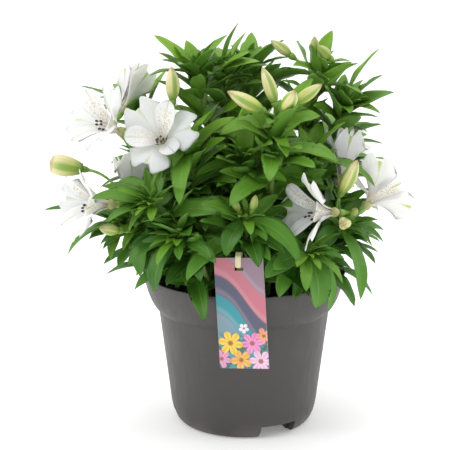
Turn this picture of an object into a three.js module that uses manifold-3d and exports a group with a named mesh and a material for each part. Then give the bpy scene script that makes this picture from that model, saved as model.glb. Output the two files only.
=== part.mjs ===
// Potted peruvian lily (Alstroemeria): a grower pot filled with peat, leafy shoots, flower umbels and
// white blooms, with a printed tag held in front of the rim.
// Millimetres, +Z up. The origin is the middle of the pot's underside, and -Y is the front.
import * as THREE from 'three';
import { mergeGeometries, mergeVertices } from 'three/addons/utils/BufferGeometryUtils.js';
import Module from 'manifold-3d';

const wasm = await Module();
wasm.setup();

// Pot
const rimRadius = 95.4;
const potHeight = 147;
const collarBase = 111;
const collarRadius = 81.2;
const collarStep = 0.6;
const collarSpread = 9;
const collarLift = 7;
const cornerHeight = 21;
const cornerRadius = 69.3;
const cornerPull = 3;
const footRadius = 58;
const footWidth = 5;
const wallThickness = 1.4;
const innerFoot = 61;
const padRadius = 22;
const padSlope = 3;
const floorLift = 12;
const floorThickness = 2;
const notchCount = 3;
const notchHeight = 12.3;
const notchWidth = 36.5;
const notchAngle = -60.5;
const drainCount = 6;
const drainRadius = 4;
const drainCircle = 38;
const drainSides = 5;
const potSides = 24;

// Soil
const soilTop = 137;
const soilCrown = 2;
const soilEdge = 3;
const soilDip = 2;
const gap = 0.3;
const holeDepth = 26;
const holeClearance = 0.5;

// Tag and the stake that carries it
const tagWidth = 45;
const tagLength = 103.5;
const tagThickness = 0.7;
const tagTop = 185;
const tagMiddle = -6.2;
const tagFront = -97.6;
const tagTilt = 3.3;
const tagYaw = 12;
const slotWidth = 8;
const slotHeight = 3.2;
const slotDrop = 12;
const stakeWidth = 5.2;
const stakeThickness = 1;
const stakeReach = 90.5;
const stakeFootReach = 71;
const stakeFoot = 100;
const stakeKnee = 152;
const stakeBend = 0.6;
const viewDepth = 40;
const viewDrop = 3;

// Stems, leaves and tepals
const stemSides = 4;
const stemSteps = 4;
const stemRoot = 2.7;
const stemBow = 0.6;
const leafLength = 61;
const leafHalfWidth = 8.6;
const leafThickness = 1.2;
const leafFold = 0.3;
const leafRows = [0, 0.32, 0.68, 1];
const leafStart = 0.09;
const leafTurn = 50;
const leafTries = 14;
const tipFreedom = 1.2;
const ruleFreedom = 3.2;
const clearance = 0.35;
const goldenAngle = 137.5;
const crownRadius = 105;
const crownShoulder = 290;
const crownDome = 125;
const crownTop = 362;
const headHeart = 3.2;
const headLength = 7;
const stalkRadius = 1.3;
const ovaryLength = 8;
const ovaryRadius = 3.3;
const budOvaryLength = 7;
const budOvaryRadius = 3.1;
const tepalLength = 51;
const outerHalfWidth = 20;
const innerHalfWidth = 10.5;
const tepalThickness = 1;
const outerRise = 80;
const closedRise = 90;
const fullOpen = 66;
const innerLean = 4;
const innerClosing = 8;
const lowestShare = 0.78;
const closedBreadth = 0.62;
const tubeLength = 9;
const tubeRadius = 4.8;
const tepalSeat = 4;
const stamenReach = 33;
const stamenDroop = 4;
const outerRows = [0, 0.4, 0.76, 1];
const innerRows = [0, 0.42, 0.76, 1];

// Shoots: where each comes out of the soil, where its top is, its thickness there, how many leaves the
// leaf rule gives it, and the tips of its leaves that stand out of the outline or hang at the front. A
// fourth number is how much broader such a leaf is.
const shoots = [
  { soil: [-48, -16], top: [-80, -26, 258], thick: 2.6, leaves: 5, lowest: 0.6 },
  {
    soil: [-62, -32], top: [-95, -50, 202], thick: 2.4, leaves: 4, lowest: 0.45,
    tips: [[-94, -88, 165, 1.2], [-82, -98, 153], [-54, -110, 180, 1.2]],
  },
  { soil: [21, -62], top: [28, -70, 303], thick: 3.2, leaves: 11, lowest: 0.25, tips: [[71, -95, 343]] },
  {
    soil: [40, 2], top: [71, 0, 341], thick: 2.4, leaves: 6, lowest: 0.7,
    tips: [
      [53, 0, 377], [96, 6, 385], [75, 20, 379], [42, 20, 377], [104, -20, 347], [38, 10, 328, 1.2],
      [100, 20, 341],
    ],
  },
  {
    soil: [62, -34], top: [88, -52, 200], thick: 2.6, leaves: 6, lowest: 0.3,
    tips: [[104, -84, 142, 1.1], [107, -70, 165, 1.3], [114, -44, 176]],
  },
  {
    soil: [2, -72], top: [1, -93, 219], thick: 2.2, leaves: 4, lowest: 0.35,
    tips: [
      [-52, -112, 168, 1.1], [-17, -104, 187], [47, -112, 184], [-53, -106, 154, 1.1],
      [-47, -102, 190], [3, -104, 189],
    ],
  },
  {
    soil: [-26, -4], top: [-44, -10, 334], thick: 1.9, leaves: 6, lowest: 0.66,
    tips: [
      [-83, 0, 369], [-54, 10, 363], [-80, -20, 356], [-27, 15, 368], [-72, -4, 324, 1.2],
      [-63, -14, 308, 1.2],
    ],
  },
  {
    soil: [-8, 10], top: [-21, 10, 324], thick: 1.9, leaves: 7, lowest: 0.66,
    tips: [[-5, 5, 381], [2, 25, 369], [24, 10, 378], [-13, -15, 367]],
  },
  {
    soil: [-47, -54], top: [-82, -98, 233], thick: 2, leaves: 5, lowest: 0.5,
    tips: [[-141, -100, 240], [-91, -118, 223], [-46, -112, 251], [-49, -120, 211], [-49, -110, 259]],
  },
  {
    soil: [0, -38], top: [0, -60, 266], thick: 2, leaves: 6, lowest: 0.5,
    tips: [[-7, -100, 268], [9, -105, 267], [8, -105, 231], [-12, -85, 249], [5, -50, 322]],
  },
  {
    soil: [-30, -34], top: [-54, -60, 275], thick: 2, leaves: 7, lowest: 0.5,
    tips: [[-43, -95, 306], [-35, -100, 284], [-57, -110, 237]],
  },
  {
    soil: [60, 8], top: [91, 0, 301], thick: 2, leaves: 6, lowest: 0.62,
    tips: [[124, 0, 357], [129, 5, 332, 1.2], [138, 0, 316, 1.4], [127, -5, 287, 1.4], [127, -20, 273, 1.3]],
  },
  {
    soil: [37, -63], top: [56, -95, 187], thick: 2, leaves: 3, lowest: 0.5,
    tips: [
      [63, -104, 140, 1.4], [18, -108, 169, 1.1], [47, -108, 152, 1.2], [85, -95, 134],
      [84, -110, 170], [51, -112, 206], [62, -112, 187],
    ],
  },
  {
    soil: [-32, -66], top: [-60, -95, 201], thick: 2, leaves: 3, lowest: 0.5,
    tips: [
      [-79, -106, 156, 1.2], [-70, -108, 162], [-88, -108, 171], [-54, -120, 185],
      [-104, -82, 163], [-36, -108, 158, 1.1],
    ],
  },
  {
    soil: [-71, -12], top: [-112, -40, 200], thick: 2, leaves: 6, lowest: 0.5,
    tips: [[-185, -32, 212], [-162, -50, 174], [-115, -62, 165], [-128, -72, 186]],
  },
  {
    soil: [-60, 8], top: [-104, 6, 300], thick: 2, leaves: 6, lowest: 0.6,
    tips: [
      [-132, 15, 346], [-127, 25, 345], [-106, 10, 347], [-152, 5, 321], [-131, -10, 334],
      [-97, -5, 352], [-87, 8, 343, 1.2], [-71, 14, 336, 1.2],
    ],
  },
  {
    soil: [40, -28], top: [60, -48, 262], thick: 2, leaves: 6, lowest: 0.5,
    tips: [[117, -60, 241], [72, -82, 262], [77, -85, 297], [100, -40, 292]],
  },
  { soil: [-26, 40], top: [-50, 68, 226], thick: 2.4, leaves: 5, lowest: 0.5 },
  { soil: [34, 44], top: [60, 70, 218], thick: 2.4, leaves: 5, lowest: 0.5 },
  {
    soil: [4, 34], top: [4, 46, 326], thick: 2, leaves: 7, lowest: 0.6,
    tips: [[30, 44, 340, 1.2], [34, 40, 316, 1.2]],
  },
  { soil: [-64, 26], top: [-98, 48, 240], thick: 2, leaves: 6, lowest: 0.35 },
  { soil: [66, 30], top: [94, 50, 242], thick: 2, leaves: 6, lowest: 0.35 },
  { soil: [0, 72], top: [0, 104, 238], thick: 2, leaves: 6, lowest: 0.35 },
  { soil: [-34, 62], top: [-62, 98, 212], thick: 2, leaves: 5, lowest: 0.35 },
  { soil: [36, 62], top: [62, 100, 206], thick: 2, leaves: 5, lowest: 0.35 },
  { soil: [72, 2], top: [84, 6, 204], thick: 2, leaves: 5, lowest: 0.35 },
];

// Umbels: the shoot that each tops, its open blooms and its closed buds. A bloom has the point where it
// sits on its ovary, the way it faces, its turn round that way, and how far its tepals bend open. A bud
// that is about to open is blunt.
const umbels = [
  {
    shoot: 0,
    blooms: [
      { seat: [-72, -58, 279], faces: [-0.13, -0.87, 0.48], turn: 13, open: 68 },
      { seat: [-108, -48, 287], faces: [-0.7, -0.49, 0.52], turn: 76, open: 65 },
      { seat: [-114, -20, 300], faces: [0.33, 0.67, 0.66], turn: 40, open: 24 },
    ],
    buds: [{ seat: [-65, -46, 318], tip: [-66, -44, 348], girth: 6.2 }],
  },
  {
    shoot: 1,
    blooms: [
      { seat: [-116, -62, 225], faces: [-0.9, -0.42, 0.12], turn: 60, open: 60 },
      { seat: [-103, -26, 209], faces: [-0.06, 0.25, 0.96], turn: 90, open: 20 },
    ],
    buds: [
      { seat: [-148, -36, 252], tip: [-178, -36, 258], girth: 9.5, blunt: 1 },
      { seat: [-113, -82, 206], tip: [-130, -92, 211], girth: 5 },
    ],
  },
  {
    shoot: 2,
    blooms: [],
    buds: [
      { seat: [26, -64, 319], tip: [15, -60, 350], girth: 5.8 },
      { seat: [14, -76, 315], tip: [-16, -90, 334], girth: 6.2 },
      { seat: [34, -84, 316], tip: [43, -100, 336], girth: 6.2 },
      { seat: [44, -68, 320], tip: [68, -66, 336], girth: 5.6 },
    ],
  },
  {
    shoot: 3,
    blooms: [],
    buds: [
      { seat: [42, 4, 350], tip: [24, 8, 363], girth: 4.8 },
      { seat: [63, 0, 351], tip: [64, 0, 368], girth: 4.4 },
      { seat: [77, -8, 350], tip: [66, -15, 362], girth: 4.8 },
    ],
  },
  {
    shoot: 4,
    blooms: [
      { seat: [87, -38, 235], faces: [0.1, 0.35, 0.93], turn: 7, open: 24 },
      { seat: [107, -54, 219], faces: [0.63, 0.65, 0.42], turn: 216, open: 73 },
      { seat: [84, -79, 222], faces: [-0.9, -0.42, 0.12], turn: 74, open: 64 },
    ],
    buds: [
      { seat: [87, -64, 237], tip: [100, -74, 269], girth: 6.6 },
      { seat: [90, -86, 214], tip: [86, -100, 217], girth: 5.6, blunt: 0.5 },
      { seat: [95, -72, 217], tip: [100, -80, 226], girth: 3.2 },
    ],
  },
  {
    shoot: 5,
    blooms: [],
    buds: [
      { seat: [-6, -97, 228], tip: [-12, -101, 241], girth: 3.4 },
      { seat: [6, -98, 229], tip: [9, -103, 244], girth: 3.6 },
    ],
  },
  {
    shoot: 17,
    blooms: [{ seat: [-68, 96, 242], faces: [-0.5, 0.82, 0.28], turn: 20, open: 66 }],
    buds: [{ seat: [-34, 92, 240], tip: [-26, 110, 262], girth: 5.4 }],
  },
  {
    shoot: 18,
    blooms: [
      { seat: [78, 96, 232], faces: [0.5, 0.84, 0.2], turn: 45, open: 64 },
      { seat: [44, 92, 240], faces: [-0.2, 0.8, 0.56], turn: 10, open: 48 },
    ],
    buds: [{ seat: [66, 84, 246], tip: [74, 92, 274], girth: 5.2 }],
  },
];

const radians = (degrees) => degrees * Math.PI / 180;
const vector = (list) => new THREE.Vector3(...list);
const mix = THREE.MathUtils.lerp;
const limit = THREE.MathUtils.clamp;

// A repeatable number from 0 to 1 for any set of whole numbers.
function chance(a, b, c) {
  const wave = Math.sin(a * 12.9898 + b * 78.233 + c * 37.719) * 43758.5453;
  return wave - Math.floor(wave);
}

// A solid from a closed geometry whose collapsed triangles are dropped.
function solidOf(geometry) {
  geometry.deleteAttribute('normal');
  geometry.deleteAttribute('uv');
  const merged = mergeVertices(geometry, 1e-3);
  const corners = Array.from(merged.index.array);
  const kept = [];
  for (let i = 0; i < corners.length; i += 3) {
    const [a, b, c] = corners.slice(i, i + 3);
    if (a !== b && b !== c && c !== a) kept.push(a, b, c);
  }
  const vertProperties = merged.attributes.position.array;
  return new wasm.Manifold(new wasm.Mesh({ numProp: 3, vertProperties, triVerts: new Uint32Array(kept) }));
}

function joined(solids) {
  return solids.reduce((whole, solid) => whole.add(solid));
}

function boxOf(solid) {
  const { min, max } = solid.boundingBox();
  return new THREE.Box3(vector(min), vector(max));
}

// A closed bar through the points of `path`, round each of them with the radius that `radii` gives.
function bar(path, radii, sides) {
  const steps = path.length - 1;
  const frames = [];
  let side = new THREE.Vector3(1, 0, 0);
  for (let row = 0; row <= steps; row += 1) {
    const along = path[Math.min(row + 1, steps)].clone().sub(path[Math.max(row - 1, 0)]).normalize();
    if (row === 0 && Math.abs(along.x) > 0.9) side.set(0, 1, 0);
    side = side.clone().addScaledVector(along, -side.dot(along)).normalize();
    frames.push([side, side.clone().cross(along)]);
  }
  const wall = new THREE.CylinderGeometry(1, 1, 1, sides, steps);
  const points = wall.attributes.position;
  for (let i = 0; i < points.count; i += 1) {
    const row = Math.round((points.getY(i) + 0.5) * steps);
    const [across, up] = frames[row];
    const point = path[row].clone();
    point.addScaledVector(across, points.getX(i) * radii[row]);
    point.addScaledVector(up, points.getZ(i) * radii[row]);
    points.setXYZ(i, point.x, point.y, point.z);
  }
  return solidOf(wall);
}

// A thin blade on a circular arc. It leaves `root` at the angle `rise` above the direction `out` and
// turns by `bend` away from `up` over its length. `rows` are the places along it that have points.
function blade({ root, out, up, rise, bend, length, rows, shape, thickness, roll = 0, firstThick = 1 }) {
  const across = out.clone().cross(up);
  const faces = [1, -1].map((face) => {
    const plane = new THREE.PlaneGeometry(2, 1, 2, rows.length - 1);
    const points = plane.attributes.position;
    for (let i = 0; i < points.count; i += 1) {
      const row = Math.round((points.getY(i) + 0.5) * (rows.length - 1));
      const u = points.getX(i);
      const { t, half, lift } = shape(u, rows[row]);
      const inside = Math.abs(u) < 0.999 && row >= firstThick && row < rows.length - 1;
      const angle = rise - bend * t;
      const reach = length / bend * (Math.sin(rise) - Math.sin(angle));
      const height = length / bend * (Math.cos(angle) - Math.cos(rise));
      const normal = out.clone().multiplyScalar(-Math.sin(angle)).addScaledVector(up, Math.cos(angle));
      const side = across.clone().multiplyScalar(Math.cos(roll)).addScaledVector(normal, Math.sin(roll));
      normal.multiplyScalar(Math.cos(roll)).addScaledVector(across, -Math.sin(roll));
      const point = root.clone().addScaledVector(out, reach).addScaledVector(up, height);
      point.addScaledVector(side, u * half);
      point.addScaledVector(normal, lift + (inside ? face * thickness / 2 : 0));
      points.setXYZ(i, point.x, point.y, point.z);
    }
    if (face < 0) plane.index.array.reverse();
    return plane;
  });
  return solidOf(mergeGeometries(faces));
}

// Pot: one moulding turned about Z, with notches through its foot ring and drain holes in its floor.
function potSolid() {
  const bore = rimRadius - wallThickness;
  const profile = new THREE.Path();
  profile.moveTo(0, 0);
  profile.lineTo(padRadius, 0);
  profile.lineTo(padRadius + padSlope, floorLift);
  profile.lineTo(footRadius - footWidth - padSlope, floorLift);
  profile.lineTo(footRadius - footWidth, 0);
  profile.lineTo(footRadius, 0);
  profile.quadraticCurveTo(cornerRadius - cornerPull, 1, cornerRadius, cornerHeight);
  profile.lineTo(collarRadius - collarStep, collarBase - collarStep);
  profile.lineTo(collarRadius, collarBase);
  profile.quadraticCurveTo(collarRadius + collarSpread, collarBase + collarLift, rimRadius, potHeight);
  profile.lineTo(bore, potHeight);
  const innerCollar = collarRadius - wallThickness;
  profile.quadraticCurveTo(innerCollar + collarSpread, collarBase + collarLift, innerCollar, collarBase);
  profile.lineTo(cornerRadius - wallThickness, cornerHeight);
  profile.lineTo(innerFoot, floorLift + floorThickness);
  profile.lineTo(padRadius + padSlope + 1, floorLift + floorThickness);
  profile.lineTo(padRadius, floorThickness);
  profile.lineTo(0, floorThickness);
  let pot = solidOf(new THREE.LatheGeometry(profile.getPoints(2), potSides).rotateX(Math.PI / 2));
  for (let i = 0; i < notchCount; i += 1) {
    const notch = new THREE.BoxGeometry(5 * footWidth, notchWidth, 2 * notchHeight);
    notch.translate(footRadius + footWidth, 0, 0).rotateZ(radians(notchAngle + i * 360 / notchCount));
    pot = pot.subtract(solidOf(notch));
  }
  for (let i = 0; i < drainCount; i += 1) {
    const drain = new THREE.CylinderGeometry(drainRadius, drainRadius, 4 * floorThickness, drainSides);
    drain.rotateX(Math.PI / 2).translate(drainCircle, 0, floorLift + floorThickness / 2);
    drain.rotateZ(radians(i * 360 / drainCount));
    pot = pot.subtract(solidOf(drain));
  }
  return pot;
}

// Turns a shape about the upright line through the tag's middle, so that its right side comes forward.
function withTag(geometry) {
  geometry.translate(-tagMiddle, -tagFront, 0).rotateZ(radians(-tagYaw)).translate(tagMiddle, tagFront, 0);
  return solidOf(geometry);
}

// A flat strip of the given width across the tag's middle, from its outline seen from the side, where
// x is the distance out from the pot's middle towards the tag.
function strip(outline, width) {
  const plate = new THREE.ExtrudeGeometry(outline, { depth: width, bevelEnabled: false, curveSegments: 6 });
  plate.rotateX(Math.PI / 2).rotateZ(-Math.PI / 2).translate(tagMiddle + width / 2, 0, 0);
  return withTag(plate);
}

// Soil: fills the pot to just below its rim, with a plain hole for each stem and for the stake.
function soilSolid() {
  const inner = wallThickness + gap;
  const profile = new THREE.Path();
  profile.moveTo(0, floorThickness + gap);
  profile.lineTo(padRadius - gap, floorThickness + gap);
  profile.lineTo(padRadius + padSlope + 1 - gap, floorLift + floorThickness + gap);
  profile.lineTo(innerFoot - gap, floorLift + floorThickness + gap);
  profile.lineTo(cornerRadius - inner, cornerHeight + gap);
  profile.lineTo(collarRadius - collarStep - inner, collarBase - gap);
  profile.lineTo(rimRadius - inner - soilEdge, soilTop - soilDip);
  profile.lineTo(rimRadius / 2, soilTop);
  profile.lineTo(0, soilTop + soilCrown);
  let soil = solidOf(new THREE.LatheGeometry(profile.getPoints(), potSides).rotateX(Math.PI / 2));
  for (const { soil: [x, y] } of shoots) {
    const low = new THREE.Vector3(x, y, soilTop - holeDepth);
    const high = new THREE.Vector3(x, y, soilTop + 3 * soilCrown);
    soil = soil.subtract(bar([low, high], [stemRoot + holeClearance, stemRoot + holeClearance], stemSides));
  }
  const slit = new THREE.Shape();
  slit.moveTo(stakeFootReach - gap, stakeFoot - gap);
  slit.lineTo(stakeFootReach + stakeThickness + gap, stakeFoot - gap);
  slit.lineTo(stakeReach + stakeThickness + gap, stakeKnee);
  slit.lineTo(stakeReach - gap, stakeKnee);
  slit.closePath();
  return soil.subtract(strip(slit, stakeWidth + 2 * gap));
}

// Tag: a flat card in front of the rim, slightly turned, with a slot for the stake's hook.
function tagSolid() {
  const card = new THREE.Shape();
  card.moveTo(-tagWidth / 2, 0);
  card.lineTo(-tagWidth / 2, -tagLength);
  card.lineTo(tagWidth / 2, -tagLength);
  card.lineTo(tagWidth / 2, 0);
  card.closePath();
  const slot = new THREE.Path();
  slot.moveTo(-slotWidth / 2, -slotDrop);
  slot.lineTo(slotWidth / 2, -slotDrop);
  slot.lineTo(slotWidth / 2, slotHeight - slotDrop);
  slot.lineTo(-slotWidth / 2, slotHeight - slotDrop);
  slot.closePath();
  card.holes.push(slot);
  const plate = new THREE.ExtrudeGeometry(card, { depth: tagThickness, bevelEnabled: false });
  plate.rotateX(Math.PI / 2).rotateY(radians(-tagTilt));
  plate.translate(tagMiddle, tagFront + tagThickness, tagTop);
  return withTag(plate);
}

// Stake: a flat strip in the soil whose bent top comes down in front of the tag and hooks its slot.
function stakeSolid() {
  const front = gap - tagFront;
  const bendRadius = (front + stakeThickness - stakeReach) / 2;
  const bendHeight = tagTop + stakeBend;
  const toothTop = tagTop - slotDrop + slotHeight - gap;
  const toothEnd = front - tagThickness - 4 * gap;
  const side = new THREE.Shape();
  side.moveTo(stakeFootReach, stakeFoot);
  side.lineTo(stakeFootReach + stakeThickness, stakeFoot);
  side.lineTo(stakeReach + stakeThickness, stakeKnee);
  side.lineTo(stakeReach + stakeThickness, bendHeight);
  side.absarc(stakeReach + bendRadius, bendHeight, bendRadius - stakeThickness, Math.PI, 0, true);
  side.lineTo(front, toothTop);
  side.lineTo(toothEnd, toothTop);
  side.lineTo(toothEnd, toothTop - stakeThickness);
  side.lineTo(front + stakeThickness, toothTop - stakeThickness);
  side.lineTo(front + stakeThickness, bendHeight);
  side.absarc(stakeReach + bendRadius, bendHeight, bendRadius, 0, Math.PI, false);
  side.lineTo(stakeReach, stakeKnee);
  side.closePath();
  return strip(side, stakeWidth);
}

// The space in front of the tag, which the leaves leave free.
function tagView() {
  const space = new THREE.BoxGeometry(tagWidth + 2 * gap, viewDepth, tagLength);
  space.translate(tagMiddle, tagFront - viewDepth / 2, tagTop - viewDrop - tagLength / 2);
  return withTag(space);
}

// A shoot's path above the soil: straight up out of its hole, then leaning out to its top.
function shootPath({ soil: [x, y], top }) {
  const start = new THREE.Vector3(x, y, soilTop);
  const control = new THREE.Vector3(x, y, mix(soilTop, top[2], stemBow));
  return new THREE.QuadraticBezierCurve3(start, control, vector(top));
}

function stemSolid(shoot) {
  const foot = new THREE.Vector3(shoot.soil[0], shoot.soil[1], soilTop - holeDepth + gap);
  const path = [foot, ...shootPath(shoot).getPoints(stemSteps)];
  const radii = path.map((point, row) => mix(stemRoot, shoot.thick, Math.max(row - 1, 0) / stemSteps));
  return bar(path, radii, stemSides);
}

// Umbel: a short head on the shoot's top with a stalk for each flower. A stalk swells to the ovary,
// and a closed bud stands on its ovary.
function umbelSolid({ shoot, blooms, buds }) {
  const { top, thick } = shoots[shoot];
  const lean = shootPath(shoots[shoot]).getTangent(1);
  const foot = vector(top).addScaledVector(lean, gap);
  const heart = foot.clone().addScaledVector(lean, headHeart);
  const crown = foot.clone().addScaledVector(lean, headLength);
  const head = bar([foot, heart, crown], [thick, thick + 0.5, thick * 0.6], 4);
  const stalks = [...blooms, ...buds].map(({ seat, faces, tip, girth, blunt = 0 }) => {
    const end = vector(seat);
    const way = (faces ? vector(faces) : vector(tip).sub(end)).normalize();
    const ovary = tip ? Math.min(budOvaryLength, girth * 1.5) : ovaryLength;
    const neck = end.clone().addScaledVector(way, -ovary);
    const control = neck.clone().addScaledVector(way, -neck.distanceTo(heart) * 0.4);
    const path = new THREE.QuadraticBezierCurve3(heart, control, neck).getPoints(2);
    const radii = path.map(() => stalkRadius);
    const swell = tip ? Math.min(budOvaryRadius, girth * 0.66) : ovaryRadius;
    path.push(end.clone().addScaledVector(way, -ovary * 0.45), end);
    radii.push(swell, swell * 0.8);
    if (tip) {
      for (const [t, share] of [[0.34, 1], [0.76, mix(0.7, 1, blunt)], [1, 0.5 * blunt]]) {
        path.push(end.clone().lerp(vector(tip), t));
        radii.push(girth * share);
      }
    }
    return bar(path, radii, tip ? 5 : 3);
  });
  return joined([head, ...stalks]);
}

// Half widths of the tepals. The outer ones widen to a broad end with a notch between two lobes, and
// the inner ones to a spoon with a pointed tip.
function outerShape(u, t, breadth) {
  const half = outerHalfWidth * breadth * (0.04 + 0.96 * Math.sin(Math.PI * 0.63 * t ** 1.5) ** 1.2);
  const notch = 0.13 * t ** 4 * (1 - Math.abs(u));
  return { t: t - notch, half: half * mix(1, 0.72, t ** 6), lift: half * u * u * mix(0.16, -0.12, t) };
}

function innerShape(u, t, breadth) {
  const half = innerHalfWidth * breadth * (0.08 * (1 - t) + 0.92 * t ** 1.8 * (1 - t) ** 0.6 / 0.259);
  return { t, half, lift: half * u * u * mix(0.4, 0.1, t) };
}

// Bloom: six tepals from a small base, and the bunch of stamens, which hangs a little in the throat. The
// less it is open, the closer and narrower its tepals stand, and the last inner tepal is short.
function bloomSolid({ seat, faces, turn, open }) {
  const way = vector(faces).normalize();
  const right = new THREE.Vector3(0, 0, 1).cross(way).normalize();
  const over = way.clone().cross(right);
  const radial = (degrees) => {
    const angle = radians(degrees);
    return right.clone().multiplyScalar(Math.cos(angle)).addScaledVector(over, Math.sin(angle));
  };
  const foot = vector(seat).addScaledVector(way, gap);
  const at = (distance) => foot.clone().addScaledVector(way, distance);
  const outerLean = mix(closedRise, outerRise, open / fullOpen);
  const breadth = Math.min(mix(closedBreadth, 1, open / fullOpen), 1);
  const tepal = (degrees, outset, rise, bend, length, rows, shape) => {
    const out = radial(degrees);
    return blade({
      root: at(tepalSeat).addScaledVector(out, outset), out, up: way,
      rise: radians(rise), bend: radians(bend), length, rows, thickness: tepalThickness,
      shape: (u, t) => shape(u, t, breadth),
    });
  };
  const tube = [at(0), at(tubeLength / 2), at(tubeLength)];
  const pieces = [bar(tube, [tubeRadius / 2, tubeRadius, tubeRadius / 2], 6)];
  for (let i = 0; i < 3; i += 1) {
    const length = tepalLength * (i === 2 ? lowestShare : 1);
    pieces.push(tepal(turn + i * 120, 2.8, outerLean, open, tepalLength, outerRows, outerShape));
    const inner = [outerLean + innerLean, open - innerClosing, length, innerRows, innerShape];
    pieces.push(tepal(turn + 60 + i * 120, 1, ...inner));
  }
  const stamens = [at(6), at(stamenReach * 0.66), at(stamenReach).addScaledVector(over, -stamenDroop)];
  pieces.push(bar(stamens, [1.4, 1.2, 2.2], 3));
  return joined(pieces);
}

// A leaf's width along its length: a narrow stalk, widest before the middle, and a pointed tip.
function leafShape(halfWidth, start, extra) {
  return (u, t) => {
    const along = mix(start, 1, t);
    const half = halfWidth * along ** 0.75 * (1 - along) ** 0.85 / 0.33;
    return { t: along, half: half + extra, lift: half * leafFold * u * u };
  };
}

// A leaf from `base` to `tip`. The lower the tip hangs, the more the leaf bends.
function leafSolid(base, tip, halfWidth, { roll, start = 0, extra = 0 }) {
  const chord = tip.clone().sub(base);
  const flat = Math.hypot(chord.x, chord.y);
  const bend = radians(mix(32, 84, limit((30 - chord.z) / 70, 0, 1)));
  const rise = Math.min(Math.atan2(chord.z, flat) + bend / 2, radians(100));
  return blade({
    root: base, out: new THREE.Vector3(chord.x / flat, chord.y / flat, 0), up: new THREE.Vector3(0, 0, 1),
    rise, bend, roll, length: chord.length() * (bend / 2) / Math.sin(bend / 2), rows: leafRows,
    shape: leafShape(halfWidth, start, extra), thickness: leafThickness + 2 * extra,
    firstThick: start > 0 || extra > 0 ? 1 : 0,
  });
}

// How far a leaf rolls about its length so that its upper face looks out of the plant.
function leafRoll(base, tip) {
  const along = new THREE.Vector2(tip.x - base.x, tip.y - base.y).normalize();
  const outward = new THREE.Vector2(tip.x, tip.y);
  outward.divideScalar(Math.max(outward.length(), 60));
  return radians(leafTurn) * (along.x * outward.y - along.y * outward.x);
}

// Draws a leaf's tip in to the plant's round crown, which closes like a dome above its shoulder.
function withinCrown(tip) {
  const height = limit((tip.z - crownShoulder) / crownDome, 0, 0.9);
  const room = crownRadius * Math.sqrt(1 - height * height);
  const share = Math.min(1, room / Math.hypot(tip.x, tip.y));
  return new THREE.Vector3(tip.x * share, tip.y * share, Math.min(tip.z, crownTop));
}

// Where each leaf of a shoot starts and aims. The listed tips come first, each from the place on the
// stem that suits a leaf's length, and then the rule's leaves wind down the stem by the golden angle.
function leafAims(shoot, index) {
  const path = shootPath(shoot);
  const outward = Math.atan2(shoot.top[1], shoot.top[0]);
  const height = limit((shoot.top[2] - 170) / 120, 0.35, 1);
  const aims = (shoot.tips ?? []).map((tip) => {
    const places = [0.98, 0.94, 0.9, 0.86, 0.82, 0.78, 0.74, 0.7, 0.64, 0.58];
    const end = vector(tip.slice(0, 3));
    const misfit = (place) => Math.abs(path.getPoint(place).distanceTo(end) - leafLength);
    const place = places.reduce((best, other) => (misfit(other) < misfit(best) - 3 ? other : best));
    return { base: path.getPoint(place), tip: end, freedom: tipFreedom, broad: tip[3] ?? 1 };
  });
  for (let i = 0; i < shoot.leaves; i += 1) {
    const down = i / shoot.leaves;
    const base = path.getPoint(mix(0.96, shoot.lowest, down));
    const free = radians(goldenAngle * i + 360 * chance(index, 0, 7));
    const azimuth = free - 0.45 * Math.sin(free - outward);
    const level = limit((base.z - soilTop - 20) / (shoot.top[2] - soilTop - 20), 0, 1);
    const rise = radians(mix(-30, 52, level * height) + 24 * (chance(index, i, 1) - 0.5));
    const size = leafLength * mix(0.9, 1.1, chance(index, i, 2));
    const way = new THREE.Vector3(Math.cos(azimuth), Math.sin(azimuth), Math.tan(rise)).normalize();
    const tip = base.clone().addScaledVector(way, size);
    aims.push({ base, tip, freedom: ruleFreedom, broad: 1, byRule: true });
  }
  return aims;
}

// Places every leaf clear of all that stands already: each is tried at its aim, then further and
// further from it, and is left out where no try is clear.
function growLeaves(obstacles) {
  const grown = shoots.map(() => []);
  const queue = shoots.flatMap((shoot, index) => {
    return leafAims(shoot, index).map((aim, leaf) => ({ aim, index, leaf }));
  });
  queue.sort((a, b) => a.leaf - b.leaf || a.index - b.index);
  for (const { aim, index, leaf } of queue) {
    for (let attempt = 0; attempt < leafTries; attempt += 1) {
      const stray = (axis) => (chance(index + 31 * axis, leaf, attempt) - 0.5) * 2 * aim.freedom * attempt;
      const aimed = aim.tip.clone().add(new THREE.Vector3(stray(1), stray(2), stray(3)));
      const tip = aim.byRule ? withinCrown(aimed) : aimed;
      tip.lerp(aim.base, 0.015 * attempt);
      const roll = leafRoll(aim.base, tip) + radians(24 * (chance(index, leaf, 9) - 0.5));
      const halfWidth = leafHalfWidth * aim.broad * mix(0.85, 1.12, chance(index, leaf, 5));
      const solid = leafSolid(aim.base, tip, halfWidth, { roll });
      const whole = leafSolid(aim.base, tip, halfWidth, { roll, extra: clearance });
      const outer = leafSolid(aim.base, tip, halfWidth, { roll, start: leafStart, extra: clearance });
      const box = boxOf(whole);
      const hit = obstacles.some((other) => {
        if (other.stemOf === index || !box.intersectsBox(other.box)) return false;
        const shapes = other.index === index ? [outer] : [whole, solid];
        return shapes.some((shape) => !shape.intersect(other.solid).isEmpty());
      });
      if (!hit) {
        grown[index].push(solid);
        obstacles.push({ solid, box: boxOf(solid), index });
        break;
      }
    }
  }
  return grown;
}

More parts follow.
